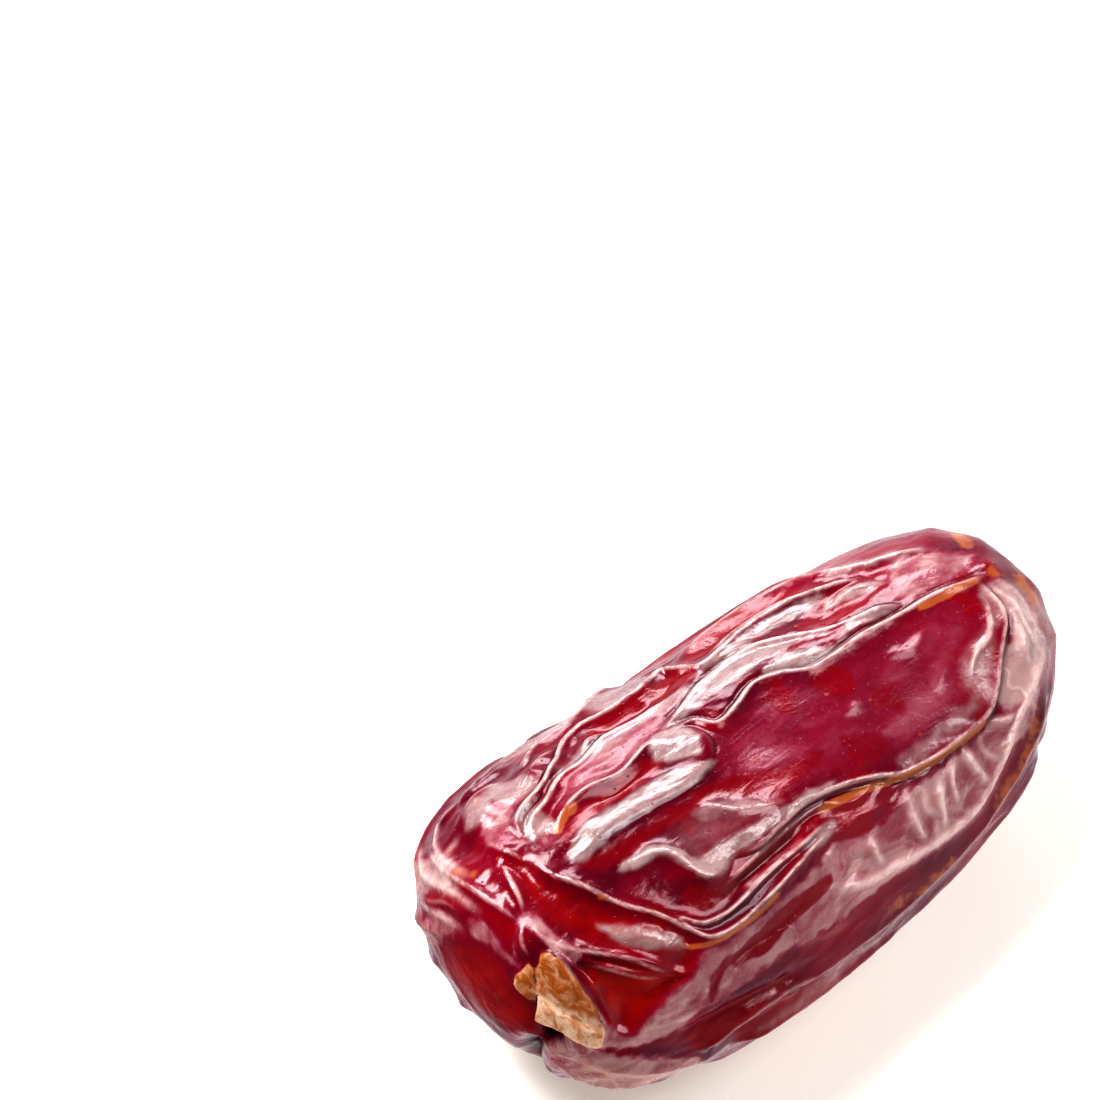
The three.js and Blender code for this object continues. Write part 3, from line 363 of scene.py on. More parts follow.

# Loose, dry skin that shines pale, partly its own pale colour and partly a painted highlight
FILM_AND_HIGHLIGHT = [
    (0.9, 0.25, [
        (15.2, 7), (16.5, 3.5), (18, 1.5), (22, 1.5), (26, 3), (27.5, 5.5), (28.8, 8), (27, 9.5),
        (22, 9), (18, 10), (16, 10.5)]),
    (1.0, 0.25, [
        (25.6, -4.5), (26.5, -9.5), (28, -10.5), (29.3, -9), (29.6, -4), (29, 1), (28.3, 3.5),
        (27, 1.5), (26, -2)]),
    (0.95, 0.2, [
        (17.3, 19), (18.5, 18), (21, 19.5), (21.8, 25), (22.3, 29), (24, 29), (27, 30), (30, 30.5),
        (33, 31.5), (35, 33.5), (33, 33.5), (28, 34), (24.5, 34.5), (23, 36.5), (21.8, 35),
        (20.8, 26), (20.2, 22.5), (18.5, 21.5)]),
    (0.6, 0.3, [
        (24.3, 17.5), (25.5, 17), (27, 20), (28.5, 24), (29.5, 28), (31.5, 29.5), (28, 27.5),
        (26, 23), (24.5, 21)]),
    (0.25, 1.0, [(21, 20), (24, 18), (27, 18.5), (29, 24), (30, 28.5), (27, 28.5), (22.5, 29)]),
    (0.85, 0.25, [
        (28.5, -11.5), (31, -14), (33, -18), (36, -20.5), (39, -21), (41, -18), (43.5, -13.5),
        (45.5, -8), (44, -6.5), (41.5, -10.5), (38, -12), (33, -12), (30, -10.5)]),
    (0.95, 0.2, [(37.5, -8), (38.5, -9.5), (41, -8), (42.8, -3), (43.6, -1.5), (42, 0), (40, -2.5)]),
    (0.8, 0.2, [(44, -1.5), (46, -4), (49, -4.5), (50.5, -2), (51.3, 1), (49, 0), (46.5, -1)]),
    (0.95, 0.25, [
        (46.8, -17), (48, -19), (50, -18), (52.2, -13), (52, -11), (50.5, -12), (48.5, -14)]),
    (0.85, 0.25, [
        (14.6, -7), (14.8, -12), (15.5, -16.5), (16.8, -18), (16.5, -13), (16.8, -9), (15.8, -4.5)]),
    (0.8, 0.35, [
        (15.8, -36), (17, -40), (17.6, -34), (18.8, -28), (18.4, -22), (16.8, -22), (15.6, -25)]),
    (0.8, 0.3, [
        (12.7, -31), (13.3, -36), (15, -37.5), (15.8, -34), (15.5, -30), (14.5, -26), (13.2, -28)]),
    (0.95, 0.25, [
        (13.7, 30), (14.3, 32), (16, 37), (17.8, 45), (18.2, 50), (16.8, 47.5), (15, 43), (14, 36)]),
    (0.5, 0.4, on_end([(-3.5, 8.2), (-6, 6.5), (-7.5, 3.5), (-6.5, 3), (-5, 5.5), (-3, 7)])),
    (0.8, 0.2, [(29.5, 44), (32, 42), (33.2, 43), (33, 46), (31, 47)]),
    (0.7, 0.7, [
        (40.5, 41), (43, 42), (46, 41.5), (49, 43), (50.3, 41), (49.8, 37), (50.5, 33), (52.5, 29.5),
        (55, 29.5), (53.8, 34), (52.2, 40), (51, 44), (47, 45.5), (43, 45), (41, 43.5)]),
    (0.6, 0.25, [
        (55.3, 29), (56.3, 24), (57, 17), (58, 15), (58.5, 18), (57.9, 24), (57.4, 29), (56, 31)]),
    (0.6, 0.8, [
        (57, 50), (58, 35), (59.5, 20), (62, 25), (63.5, 40), (63, 60), (61, 66), (58, 62)]),
    (0.85, 0.4, [
        (20, -20), (23, -24), (27, -22.5), (31, -23), (34, -20), (31, -17.5), (27, -18), (23, -17)]),
    (0.85, 0.4, [
        (34, -24), (37, -26), (41, -28), (45, -26.5), (48, -22), (45, -21.5), (41, -24), (37, -23)]),
    (0.8, 0.5, [(50, -30), (52, -24), (55, -18), (58, -13), (57, -20), (54, -28), (52, -33)]),
    (0.6, 0.4, [(19, -48), (24, -46), (28, -52), (27, -58), (22, -58)]),
    (0.6, 0.4, [(28, -38), (32, -40), (34, -44), (31, -56), (27, -50)]),
    (0.5, 0.4, [(22, 100), (30, 98), (38, 97), (38, 101), (30, 103)]),
    (0.5, 0.4, [(24, -98), (32, -101), (42, -97), (42, -102), (32, -106), (24, -103)]),
    (0.5, 0.4, [(28, 128), (36, 126), (46, 130), (44, 134), (34, 131)]),
    (0.5, 0.4, [(30, -152), (38, -155), (46, -151), (44, -158), (34, -158)]),
]

# Pink bloom under thin skin, partly a painted reflection of the bright surroundings
VEIL_AND_REFLECTION = [
    (0.8, 0.35, [
        (10.5, 64), (12, 76), (14, 66), (16, 60), (17.5, 59.5), (18.5, 54.5), (22, 54.5), (25, 53),
        (30, 51.5), (31.5, 49), (33.5, 50.5), (36, 54), (38.5, 52), (40, 51), (44, 52.5), (48, 54),
        (50, 53), (51.5, 58), (56, 60), (57, 66), (54, 72), (50, 70), (47, 75), (42, 77), (36, 74),
        (31, 74), (27, 73), (24, 71), (20, 74), (18, 74), (15, 80), (12, 84), (9, 88), (7.5, 82)]),
    (0.55, 0.4, [
        (18, -13), (21, -17), (24, -22), (27, -21), (32, -20), (34, -18.5), (31, -14), (28, -11.5),
        (24, -7.5), (20, -8.5)]),
    (0.4, 1.5, GREAT_PANEL),
    (0.45, 1.5, [(28.5, 11), (31, 4), (34, 0), (36, -1), (38, 2), (36, 12), (34, 14), (31, 17), (29, 14)]),
    (0.5, 2.0, [
        (40, 26), (44, 24), (47, 19), (50, 17), (54, 14), (55.5, 18), (54.5, 24), (50, 30), (48, 40),
        (42, 40), (40, 34)]),
    (1.0, 0.6, [
        (55.5, 46), (57.5, 32), (58.5, 16), (60, 20), (60.8, 32), (60.5, 48), (59.5, 60), (57.5, 58)]),
    (1.0, 0.6, [(51.5, 48), (53, 44), (55, 38), (57, 40), (58, 50), (58, 60), (55, 60), (52, 57)]),
    (0.7, 0.5, [(52, -8), (54, -17), (57, -15), (60, -5), (61, 3), (57, 6), (53, 3), (51.5, -2)]),
    (0.6, 0.3, [
        (12.2, -13), (12.2, -20), (13, -27), (14.5, -27), (16, -24), (15.5, -17), (14.5, -13), (13, -12)]),
    (0.65, 0.25, on_end([
        (-0.6, 7.0), (0.7, 6.8), (2.1, 6.2), (3.4, 5.6), (2.75, 5.2), (1.9, 5.2), (0.5, 5.2),
        (-1, 4.75), (-1.4, 6.2)])),
    (0.75, 0.2, on_end([
        (-1.8, 8.9), (-0.2, 9.1), (2.3, 9.1), (2.5, 8.7), (1.9, 8.7), (-0.2, 8.6), (-1.6, 8.2)])),
    (0.8, 0.2, on_end([
        (2.1, 10.4), (2.75, 10.4), (4.8, 9.75), (6.7, 9.5), (6.9, 9.1), (6.6, 8.0), (5, 8.6),
        (2.6, 8.7), (2.5, 7.3), (2.95, 6.2), (2.5, 6.2), (2.0, 7.9), (1.7, 9.1)])),
    (0.8, 0.4, on_end([(-5, 9), (-8, 6), (-10, 2), (-9, 0), (-6.5, 4), (-4, 7)])),
    (0.7, 0.4, on_end([(-3, 5), (-5, 3), (-6, -1), (-5, -2), (-3.5, 1), (-2, 4)])),
    (0.9, 0.4, on_end([
        (6.6, 1.2), (8.5, 1.3), (10, 0.5), (13, 0), (17, -3), (16, -6), (9, -7), (5.5, -6),
        (4.5, -3), (6.4, -1)])),
    (0.5, 0.6, [(16, -106), (26, -108), (40, -105), (54, -108), (54, -120), (36, -122), (18, -120)]),
    (0.5, 0.6, [(16, 108), (30, 106), (44, 108), (54, 104), (52, 116), (34, 120), (18, 120)]),
    (0.4, 0.6, [(18, 142), (30, 144), (46, 142), (50, 150), (34, 152), (20, 152)]),
    (0.4, 0.6, [(20, -134), (34, -137), (48, -133), (50, -142), (34, -143), (20, -143)]),
    (0.5, 0.6, [(62, -20), (66, -30), (67, -90), (63, -80), (61, -50)]),
    (0.5, 0.6, [(60, 62), (64, 70), (67, 120), (63, 120), (59, 90)]),
]

# Places where the dark flesh shows clear through the skin
CLEAR = [
    (1.0, 0.2, [
        (18.2, 72), (18.6, 65), (20, 61), (22, 60.5), (25, 57), (28, 56.5), (30.6, 57), (30, 60.5),
        (26, 63), (24.5, 65.5), (23, 66.5), (21.5, 65), (20, 64), (19, 68)]),
    (0.9, 0.25, [(19, -5), (22, -4.5), (25.3, -5.5), (25.7, -1), (24, 1), (18, 0.5), (16, 1)]),
    (1.0, 0.3, [
        (24, -27), (25.5, -31.5), (28, -32), (34, -33.5), (35, -27), (34.5, -22), (31, -23),
        (27, -23), (25, -25)]),
    (1.0, 0.3, [
        (36.5, -36), (37.5, -44), (41, -48), (45, -47), (48, -40), (48.3, -34), (45, -34), (41, -35),
        (38, -34)]),
    (0.8, 0.3, [
        (15, 11), (18, 11), (23, 12.5), (28, 13), (32, 20), (36, 24), (34, 27), (30, 25), (27, 17),
        (24, 16.5), (20, 17), (17, 17)]),
    (0.8, 0.25, [
        (20.5, 34), (22, 38), (26, 37.5), (33, 36.5), (36, 41), (36.8, 46), (34.5, 52.5), (33, 47),
        (33.5, 41.5), (28, 42), (22, 45), (20, 44), (19.5, 38)]),
    (0.9, 0.3, [
        (43.5, -17), (46, -21), (49, -21), (51, -17), (52, -12), (51, -8), (48, -6.5), (45, -10),
        (43, -14)]),
    (1.0, 0.3, [(16, 85), (17, 80.5), (20, 78.5), (24, 80), (26, 83), (22, 85), (18, 90), (16.5, 93)]),
    (1.0, 0.4, [(20, 97), (24, 93), (28, 97), (30, 104), (20, 104)]),
    (0.7, 0.3, [(35.8, -1), (37.8, -5), (38, -1), (37.5, 5), (36.5, 10), (36, 5)]),
    (0.8, 0.3, [(39.5, 4), (41, 1), (42.5, 5), (42.3, 13), (41, 15), (40, 10)]),
    (0.6, 0.4, [(38, 24), (40, 28), (41, 36), (37, 34)]),
    (0.6, 0.3, [(43, 17), (44.3, 20), (44, 30), (42.8, 25)]),
    (0.8, 0.3, [(54, 8.5), (56.3, 12), (56.2, 20), (54.5, 21), (55, 13)]),
    (0.9, 0.3, on_end([
        (1.7, 5), (3.2, 3.5), (4.8, 2.7), (5, 1.6), (6.2, 1.4), (6.1, 0), (3.6, -1.7), (1.7, -2.8),
        (0, -3.4), (-2.5, -2.8), (-3.5, -0.7), (-3, 1.4), (-1.8, 2.7), (-0.2, 4.3)])),
    (0.9, 0.3, on_end([(-1.6, 8.2), (-0.2, 8.4), (1.9, 8.5), (2.2, 7.0), (0.5, 7.2), (-1, 7.5)])),
    (1.0, 0.4, [(22, -70), (28, -80), (34, -84), (42, -80), (50, -80), (42, -86), (30, -88), (22, -78)]),
    (0.8, 0.4, [(24, -112), (34, -115), (44, -113), (46, -118), (34, -121), (26, -118)]),
    (0.8, 0.4, [(24, 130), (34, 128), (44, 132), (40, 136), (28, 134)]),
]

# Sunken areas, in both the relief and the finish: depth, softness of the edge and the outline
SUNKEN = [
    # The clear triangle between the scar and the near side
    (0.35, 0.3, on_end([
        (6.7, 7.9), (7.1, 8.4), (9, 8.7), (11.7, 8.7), (14, 8.75), (14.8, 9.0), (14.6, 8.5),
        (13.6, 6.8), (13, 5.2), (12.5, 4.1), (11.9, 3.2), (11.3, 3.1), (10.25, 3.6), (9.7, 4.6),
        (8.7, 6.4), (7.5, 7.5)])),
    (0.22, 0.15, on_end([
        (7.1, 9.05), (9, 9.65), (10.9, 9.95), (13.2, 9.4), (14, 9.0), (11.7, 9.0), (9, 8.95)])),
    # The clear panel between the rim and the scar's folds
    (0.25, 0.6, on_end([
        (-1.4, 13.5), (0.25, 13.1), (1.3, 12.9), (2.75, 13.3), (6.9, 13.6), (11.1, 13.5), (13.8, 12.7),
        (14.6, 11.8), (14.8, 9.3), (14, 9.3), (10.9, 10.5), (8.6, 10.1), (6.7, 9.8), (4.6, 9.95),
        (2.6, 10.6), (1.5, 10.9), (0, 11.6), (-1.6, 11.7), (-1.4, 12.9)])),
]

# Taut panels, free of small wrinkles
TAUT = [
    (1.0, 1.2, GREAT_PANEL),
    (0.8, 0.8, [(18, 24), (20.5, 27), (21.5, 36), (21, 43), (18.5, 38), (16.5, 28)]),
    (0.8, 0.6, [(16, -4), (19, -5.5), (25.5, -6), (25, 0), (18, 0)]),
    (0.8, 0.8, on_end([
        (-1, 13), (3, 13), (8, 13.2), (13, 12.5), (14.2, 9.8), (9, 10.6), (3, 10.8), (0, 12)])),
    (0.8, 0.8, on_end([(1.7, 5), (5, 2), (6, 0), (2, -3), (-2.5, -2.5), (-3, 1), (-0.5, 4)])),
]

# The scar of the stem: its raised areas, as height, softness of the edge and the outline
TORN = [
    # A ragged flap of tough tissue over the cleft
    (0.4, 0.35, on_end([
        (4.3, 7.7), (4.85, 8.25), (5.8, 8.1), (7.1, 7.25), (8.4, 6.0), (9.25, 4.65), (9.7, 3.5),
        (9.8, 2.5), (9.6, 1.45), (8, 1.65), (6.5, 2.15), (5.1, 2.0), (5.15, 3.4), (4.8, 4.75),
        (4.5, 5.9)])),
    # Its free lower end
    (0.7, 0.15, on_end([
        (4.9, 4.6), (5.15, 3.4), (5.1, 2.0), (6.5, 2.15), (8, 1.65), (9.6, 1.45), (9.8, 2.5),
        (9.6, 3.6), (8.3, 3.5), (6.6, 4.0)])),
    # The fibrous knob beside it
    (0.45, 0.3, on_end([
        (3.5, 5.6), (4.0, 6.5), (4.5, 5.6), (4.9, 4.3), (4.8, 3.4), (4.1, 3.25), (3.3, 3.7),
        (3.2, 4.75)])),
]
# The browned part of the scar, and the clear, warm flesh beside it, with a painted glow of light shining
# through
SCORCHED = [
    (1.0, 0.35, on_end([
        (4.2, 7.9), (4.85, 8.4), (5.9, 8.3), (7.2, 7.4), (8.5, 6.2), (9.3, 4.8), (9.5, 4.2),
        (8.3, 4.5), (7.2, 4.2), (6.2, 4.8), (4.9, 4.7), (4.4, 6.0)])),
    (1.0, 0.3, on_end([(3.0, 5), (4.0, 6.8), (4.9, 4.3), (4.1, 3.1)])),
]
GLOWING = [
    (1.0, 0.8, on_end([
        (7.1, 8.4), (9, 8.6), (14, 8.6), (13.4, 6.8), (12.5, 4.4), (11.5, 3.4), (10.3, 4), (8.7, 6.6)])),
    (0.6, 1.0, on_end([(1.7, 4), (4, 2), (5.5, 0.8), (3.6, -1.2), (0.5, -2.4), (-2, -1), (-1.2, 2)])),
    (0.5, 0.8, on_end([(-0.6, 12.6), (3, 12.6), (8, 12.8), (12.5, 12), (8, 11), (3, 11.2)])),
]


# The plump body, as functions of directions on a unit sphere whose poles are the two ends

def girth(t):
    reach = np.minimum(np.abs(t), 1)
    stem = (1 - reach ** STEM_FLAT) ** (1 / STEM_ROUND)
    tip = (1 - reach ** TIP_FLAT) ** (1 / TIP_ROUND)
    return np.where(t < 0, stem, tip) * (1 - TAPER * t)


STATIONS = 2001
STATION_T = -np.cos(np.linspace(0, math.pi, STATIONS))
STATION_M = np.concatenate([[0], np.cumsum(np.hypot(
    np.diff(STATION_T) * LENGTH / 2, np.diff(girth(STATION_T)) * (HALF_WIDTH + HALF_HEIGHT) / 2))])
SKIN_LENGTH = STATION_M[-1]
NORMAL_STEP = 0.004


def unit(vectors):
    return vectors / np.linalg.norm(vectors, axis=-1, keepdims=True)


def directions_of(places):
    m, a = np.array(places, float).T
    polar, turn = math.pi * m / SKIN_LENGTH, np.radians(a)
    ring = np.sin(polar)
    return np.stack([-np.cos(polar), -ring * np.sin(turn), ring * np.cos(turn)], -1)


def places_of(directions):
    polar = np.arccos(np.clip(-directions[:, 0], -1, 1))
    return polar / math.pi * SKIN_LENGTH, np.arctan2(-directions[:, 1], directions[:, 2])


def body_points(directions):
    m, turn = places_of(directions)
    t = np.interp(m, STATION_M, STATION_T)
    radius, reach = girth(t), np.abs(t)
    at_stem = np.where(t < 0, reach ** STEM_SHIFT_POWER, 0)
    at_tip = np.where(t > 0, reach ** TIP_LIFT_POWER, 0)
    side = BEND_SIDE * t * t + STEM_SHIFT_SIDE * at_stem
    up = BEND_UP * t * t + STEM_SHIFT_UP * at_stem + TIP_LIFT * at_tip
    return np.stack([
        t * LENGTH / 2,
        side - HALF_WIDTH * radius * np.sin(turn),
        up + HALF_HEIGHT * radius * np.cos(turn)], -1)


def body_normals(directions):
    helper = np.where(np.abs(directions[:, :1]) < 0.9, [[1.0, 0, 0]], [[0, 0, 1.0]])
    first = unit(np.cross(directions, helper))
    spans = [
        body_points(unit(directions + step)) - body_points(unit(directions - step))
        for step in (first * NORMAL_STEP, np.cross(directions, first) * NORMAL_STEP)]
    return unit(np.cross(*spans))


# Traced lines on the skin

def between(first, second, first_t, second_t, t):
    return (first * (second_t - t) + second * (t - first_t)) / (second_t - first_t)


def smooth_line(places, per_span=8):
    """A Catmull-Rom line through the places, with centripetal knots, as points of the body."""
    knots = directions_of(places)
    knots = np.vstack([2 * knots[0] - knots[1], knots, 2 * knots[-1] - knots[-2]])
    drawn = []
    for i in range(1, len(knots) - 2):
        four = knots[i - 1:i + 3]
        gaps = np.maximum(np.linalg.norm(np.diff(four, axis=0), axis=1) ** 0.5, 1e-6)
        t = np.concatenate([[0], np.cumsum(gaps)])
        for share in np.arange(per_span) / per_span:
            now = t[1] + (t[2] - t[1]) * share
            three = [between(four[k], four[k + 1], t[k], t[k + 1], now) for k in range(3)]
            two = [between(three[k], three[k + 1], t[k], t[k + 2], now) for k in range(2)]
            drawn.append(between(two[0], two[1], t[1], t[2], now))
    drawn.append(knots[-2])
    return body_points(unit(np.array(drawn)))


def nearest(line, points, normals, reach):
    """For the points within reach of a line: their indices, distance, side and distance along."""
    low, high = line.min(0) - reach, line.max(0) + reach
    close = np.flatnonzero(((points > low) & (points < high)).all(1))
    best = np.full(len(close), np.inf)
    side = np.ones(len(close))
    along = np.zeros(len(close))
    before = 0.0
    for start, end in zip(line[:-1], line[1:]):
        step = end - start
        length = np.linalg.norm(step)
        offset = points[close] - start
        share = np.clip(offset @ step / length ** 2, 0, 1)
        away = offset - share[:, None] * step
        distance = np.linalg.norm(away, axis=1)
        nearer = distance < best
        best[nearer] = distance[nearer]
        left = (np.cross(normals[close[nearer]], step) * away[nearer]).sum(1)
        side[nearer] = np.where(left < 0, -1, 1)
        along[nearer] = before + share[nearer] * length
        before += length
    kept = best < reach
    return close[kept], best[kept], side[kept], along[kept], before


def smooth_step(x, low, high):
    x = np.clip((x - low) / (high - low), 0, 1)
    return x * x * (3 - 2 * x)


def end_fade(along, length, fade=FOLD_FADE):
    reach = min(fade, length / 2)
    return smooth_step(along, -0.5, reach) * smooth_step(length - along, -0.5, reach)


def around(directions, m, a, half_length, half_width):
    """Square of the distance from a place, in half lengths and half widths."""
    own_m, turn = places_of(directions)
    radius = girth(np.interp(m, STATION_M, STATION_T)) * (HALF_WIDTH + HALF_HEIGHT) / 2
    angle = turn - math.radians(a)
    angle = np.arctan2(np.sin(angle), np.cos(angle))
    return ((own_m - m) / half_length) ** 2 + (angle * radius / half_width) ** 2


def skin_relief(directions, points, normals):
    """The skin's height above the body, how far it is pressed flat, its crests, feet and hollows, marked
    for painted highlight and painted shade.
    """
    crests, hollows, crest_highlight_mask, foot_shade_mask = np.zeros((4, len(points)))
    crest_widths = CREST_HALF_WIDTH + CREST_SPREAD * (1 - directions @ np.array(GATHER.normalized()))
    for height, left, right, crease, roundness, places in FOLDS:
        index, distance, side, along, length = nearest(smooth_line(places), points, normals, FOLD_REACH)
        fade = end_fade(along, length)
        flank = np.where(side > 0, left, right)
        rounded = np.hypot(distance, roundness) - roundness
        crests[index] += (height * fade * np.exp(-rounded / flank)) ** BLEND
        near = np.exp(-(distance / crest_widths[index]) ** 2) * fade * min(1, height / FULL_CREST)
        near *= 1 - smooth_step(roundness, CRISP, ROUND)
        crest_highlight_mask[index] = np.maximum(crest_highlight_mask[index], near)
        if crease:
            from_foot = (distance - flank - CREASE_OUT) / CREASE_HALF_WIDTH
            groove = np.where(side * crease < 0, abs(crease) * fade * np.exp(-from_foot ** 2), 0)
            hollows[index] += groove ** BLEND
            foot_shade_mask[index] = np.maximum(foot_shade_mask[index], np.minimum(groove / FULL_FOOT, 1))
    for depth, half_width, places in CREASES:
        index, distance, side, along, length = nearest(smooth_line(places), points, normals, FOLD_REACH)
        fade = end_fade(along, length)
        hollows[index] += (depth * fade * np.exp(-(distance / half_width) ** 1.6)) ** BLEND
    torn = areas(TORN, points, normals)
    hollows *= 1 - np.clip(torn / FULL_SCAR, 0, 1)
    height = crests ** (1 / BLEND) - hollows ** (1 / BLEND) - SKIN_DROP
    for rise, m, a, half_length, half_width in SWELLINGS:
        height += rise * np.exp(-around(directions, m, a, half_length, half_width))
    height -= areas(SUNKEN, points, normals)
    height += torn
    pressed = np.where(
        normals[:, 2] < -0.5,
        np.exp(-(points[:, 0] / REST_HALF_LENGTH) ** 4 - (points[:, 1] / REST_HALF_WIDTH) ** 4), 0)
    return height * (1 - pressed), pressed, crest_highlight_mask, foot_shade_mask, hollows ** (1 / BLEND)


# The fine mesh of the skin: the six faces of a cube drawn out onto a sphere, then onto the body

def striped(stripes, points, normals):
    """How strongly the stripes mark each point, from 0 to 1."""
    mark = np.zeros(len(points))
    for half_width, strength, places in stripes:
        reach = 3 * half_width
        index, distance, side, along, length = nearest(smooth_line(places), points, normals, reach)
        here = strength * end_fade(along, length, STRIPE_FADE) * np.exp(-(distance / half_width) ** 2.5)
        mark[index] = np.maximum(mark[index], here)
    return mark


def areas(outlines, points, normals, jitter=0.0):
    """How strongly the outlined areas mark each point, from 0 to their strength."""
    mark = np.zeros(len(points))
    jitter = np.broadcast_to(jitter, len(points))
    for strength, edge, outline in outlines:
        ring = smooth_line(outline + outline[:1], 4)
        facing = unit(body_normals(directions_of(outline)).mean(0))
        across = unit(np.cross(facing, (0.3, 0.2, 1)))
        plane = np.stack([across, np.cross(facing, across)], 1)
        low, high = ring.min(0) - AREA_MARGIN, ring.max(0) + AREA_MARGIN
        near = ((points > low) & (points < high)).all(1) & (normals @ facing > LEAST_FACING)
        index = np.flatnonzero(near)
        x, y = ((points[index] - ring[0]) @ plane).T
        ring = (ring - ring[0]) @ plane
        inside = np.zeros(len(index), bool)
        distance = np.full(len(index), np.inf)
        for (x0, y0), (x1, y1) in zip(ring[:-1], ring[1:]):
            dx, dy = x1 - x0, y1 - y0
            share = np.clip(((x - x0) * dx + (y - y0) * dy) / max(dx * dx + dy * dy, 1e-9), 0, 1)
            distance = np.minimum(distance, np.hypot(x - x0 - share * dx, y - y0 - share * dy))
            if dy:
                inside ^= ((y0 > y) != (y1 > y)) & (x < x0 + (y - y0) / dy * dx)
        depth = np.where(inside, distance, -distance) + jitter[index] * min(edge, MOST_JITTER)
        mark[index] = np.maximum(mark[index], strength * smooth_step(depth, -edge, edge))
    return mark


def soft_noise(points, seed):
    """Soft noise, about -0.5 to 0.5, one value a point."""
    offset = Vector((seed * 7.3, seed * 3.1, seed * 5.7))
    return np.array([noise.noise(Vector(point) + offset) for point in points])


def ridged(points, seed):
    """Noise with sharp crests, from -1 to 1, one value a point."""
    return 1 - 3 * np.abs(soft_noise(points, seed))


def small_wrinkles(points, pressed, taut):
    """Fine wrinkles that run along the fruit, and hardly show on its taut panels."""
    drift = soft_noise(points / 6, 1)[:, None] * (0, 2.2, 2.2)
    long_ones = ridged((points + drift) / (7, 2.1, 2.1), 2)
    short_ones = ridged((points + 0.6 * drift) / (2.6, 1.1, 1.1), 3)
    ripples = soft_noise(points / (1.6, 0.8, 0.8), 4)
    strength = 0.5 + 1.3 * np.clip(soft_noise(points / 9, 5) + 0.1, 0, 1)
    wrinkles = 0.085 * long_ones + 0.035 * short_ones + 0.035 * ripples
    return wrinkles * strength * (1 - pressed) * (1 - 0.8 * taut)


def cube_sphere(cells):
    """Directions and quads of a cube's grid on the unit sphere, shared along the cube's edges."""
    angles = np.tan(np.linspace(-math.pi / 4, math.pi / 4, cells + 1))
    x, y, z = np.eye(3)
    faces = [(x, y, z), (-x, z, y), (y, z, x), (-y, x, z), (z, x, y), (-z, y, x)]
    numbers, directions, quads = {}, [], []
    for out, across, up in faces:
        grid = np.empty((cells + 1, cells + 1), int)
        for i in range(cells + 1):
            for j in range(cells + 1):
                spot = out + across * angles[i] + up * angles[j]
                key = tuple(np.round(spot, 6) + 0.0)
                if key not in numbers:
                    numbers[key] = len(directions)
                    directions.append(spot)
                grid[i, j] = numbers[key]
        corners = [grid[:-1, :-1], grid[1:, :-1], grid[1:, 1:], grid[:-1, 1:]]
        quads.append(np.stack(corners, -1).reshape(-1, 4))
    return unit(np.array(directions)), np.concatenate(quads)


def laid_down(skin):
    """The skin with its flat spot on the floor and its box centred."""
    floor = skin[:, 2].min() + REST_DEPTH
    skin[:, 2] = np.maximum(skin[:, 2], floor) - floor
    centre = (skin.min(0) + skin.max(0)) / 2
    skin[:, :2] -= centre[:2]
    return skin


def marks(points, normals, crest_highlight, foot_shade, hollow):
    """What the material reads at each point of the mesh."""
    jitter = soft_noise(points / (0.9, 0.5, 0.5), 6)
    sunken = [(SUNKEN_CLEARNESS, edge, outline) for depth, edge, outline in SUNKEN]
    clear = areas(CLEAR + sunken, points, normals, jitter)
    return {
        "crest_highlight": crest_highlight,
        "foot_shade": foot_shade,
        "hollow": hollow,
        "amber": striped(AMBER, points, normals),
        "web": striped(WEB, points, normals),
        "glow": areas(GLOWING, points, normals, jitter),
        "scar": np.minimum(areas(TORN, points, normals, 0.5 * jitter) / FULL_SCAR, 1),
        "scorch": areas(SCORCHED, points, normals, jitter),
        "film_and_highlight": areas(FILM_AND_HIGHLIGHT, points, normals, jitter),
        "veil_and_reflection": areas(VEIL_AND_REFLECTION, points, normals, jitter) * (1 - clear),
        "clear": clear,
    }


def placed(name, data):
    thing = bpy.data.objects.new(name, data)
    bpy.context.collection.objects.link(thing)
    return thing


def make_skin():
    directions, quads = cube_sphere(CELLS)
    directions = unit(directions + np.array(GATHER))
    points, normals = body_points(directions), body_normals(directions)
    height, pressed, crest_highlight, foot_shade, hollow = skin_relief(directions, points, normals)
    height += small_wrinkles(points, pressed, areas(TAUT, points, normals))
    skin = laid_down(points + normals * height[:, None])
    mesh = bpy.data.meshes.new("date_skin")
    mesh.from_pydata((skin * MM).tolist(), [], quads.tolist())
    mesh.shade_smooth()
    for name, values in marks(points, normals, crest_highlight, foot_shade, hollow).items():
        mesh.attributes.new(name, "FLOAT", "POINT").data.foreach_set("value", values.astype(np.float32))
    return placed("date_skin", mesh)


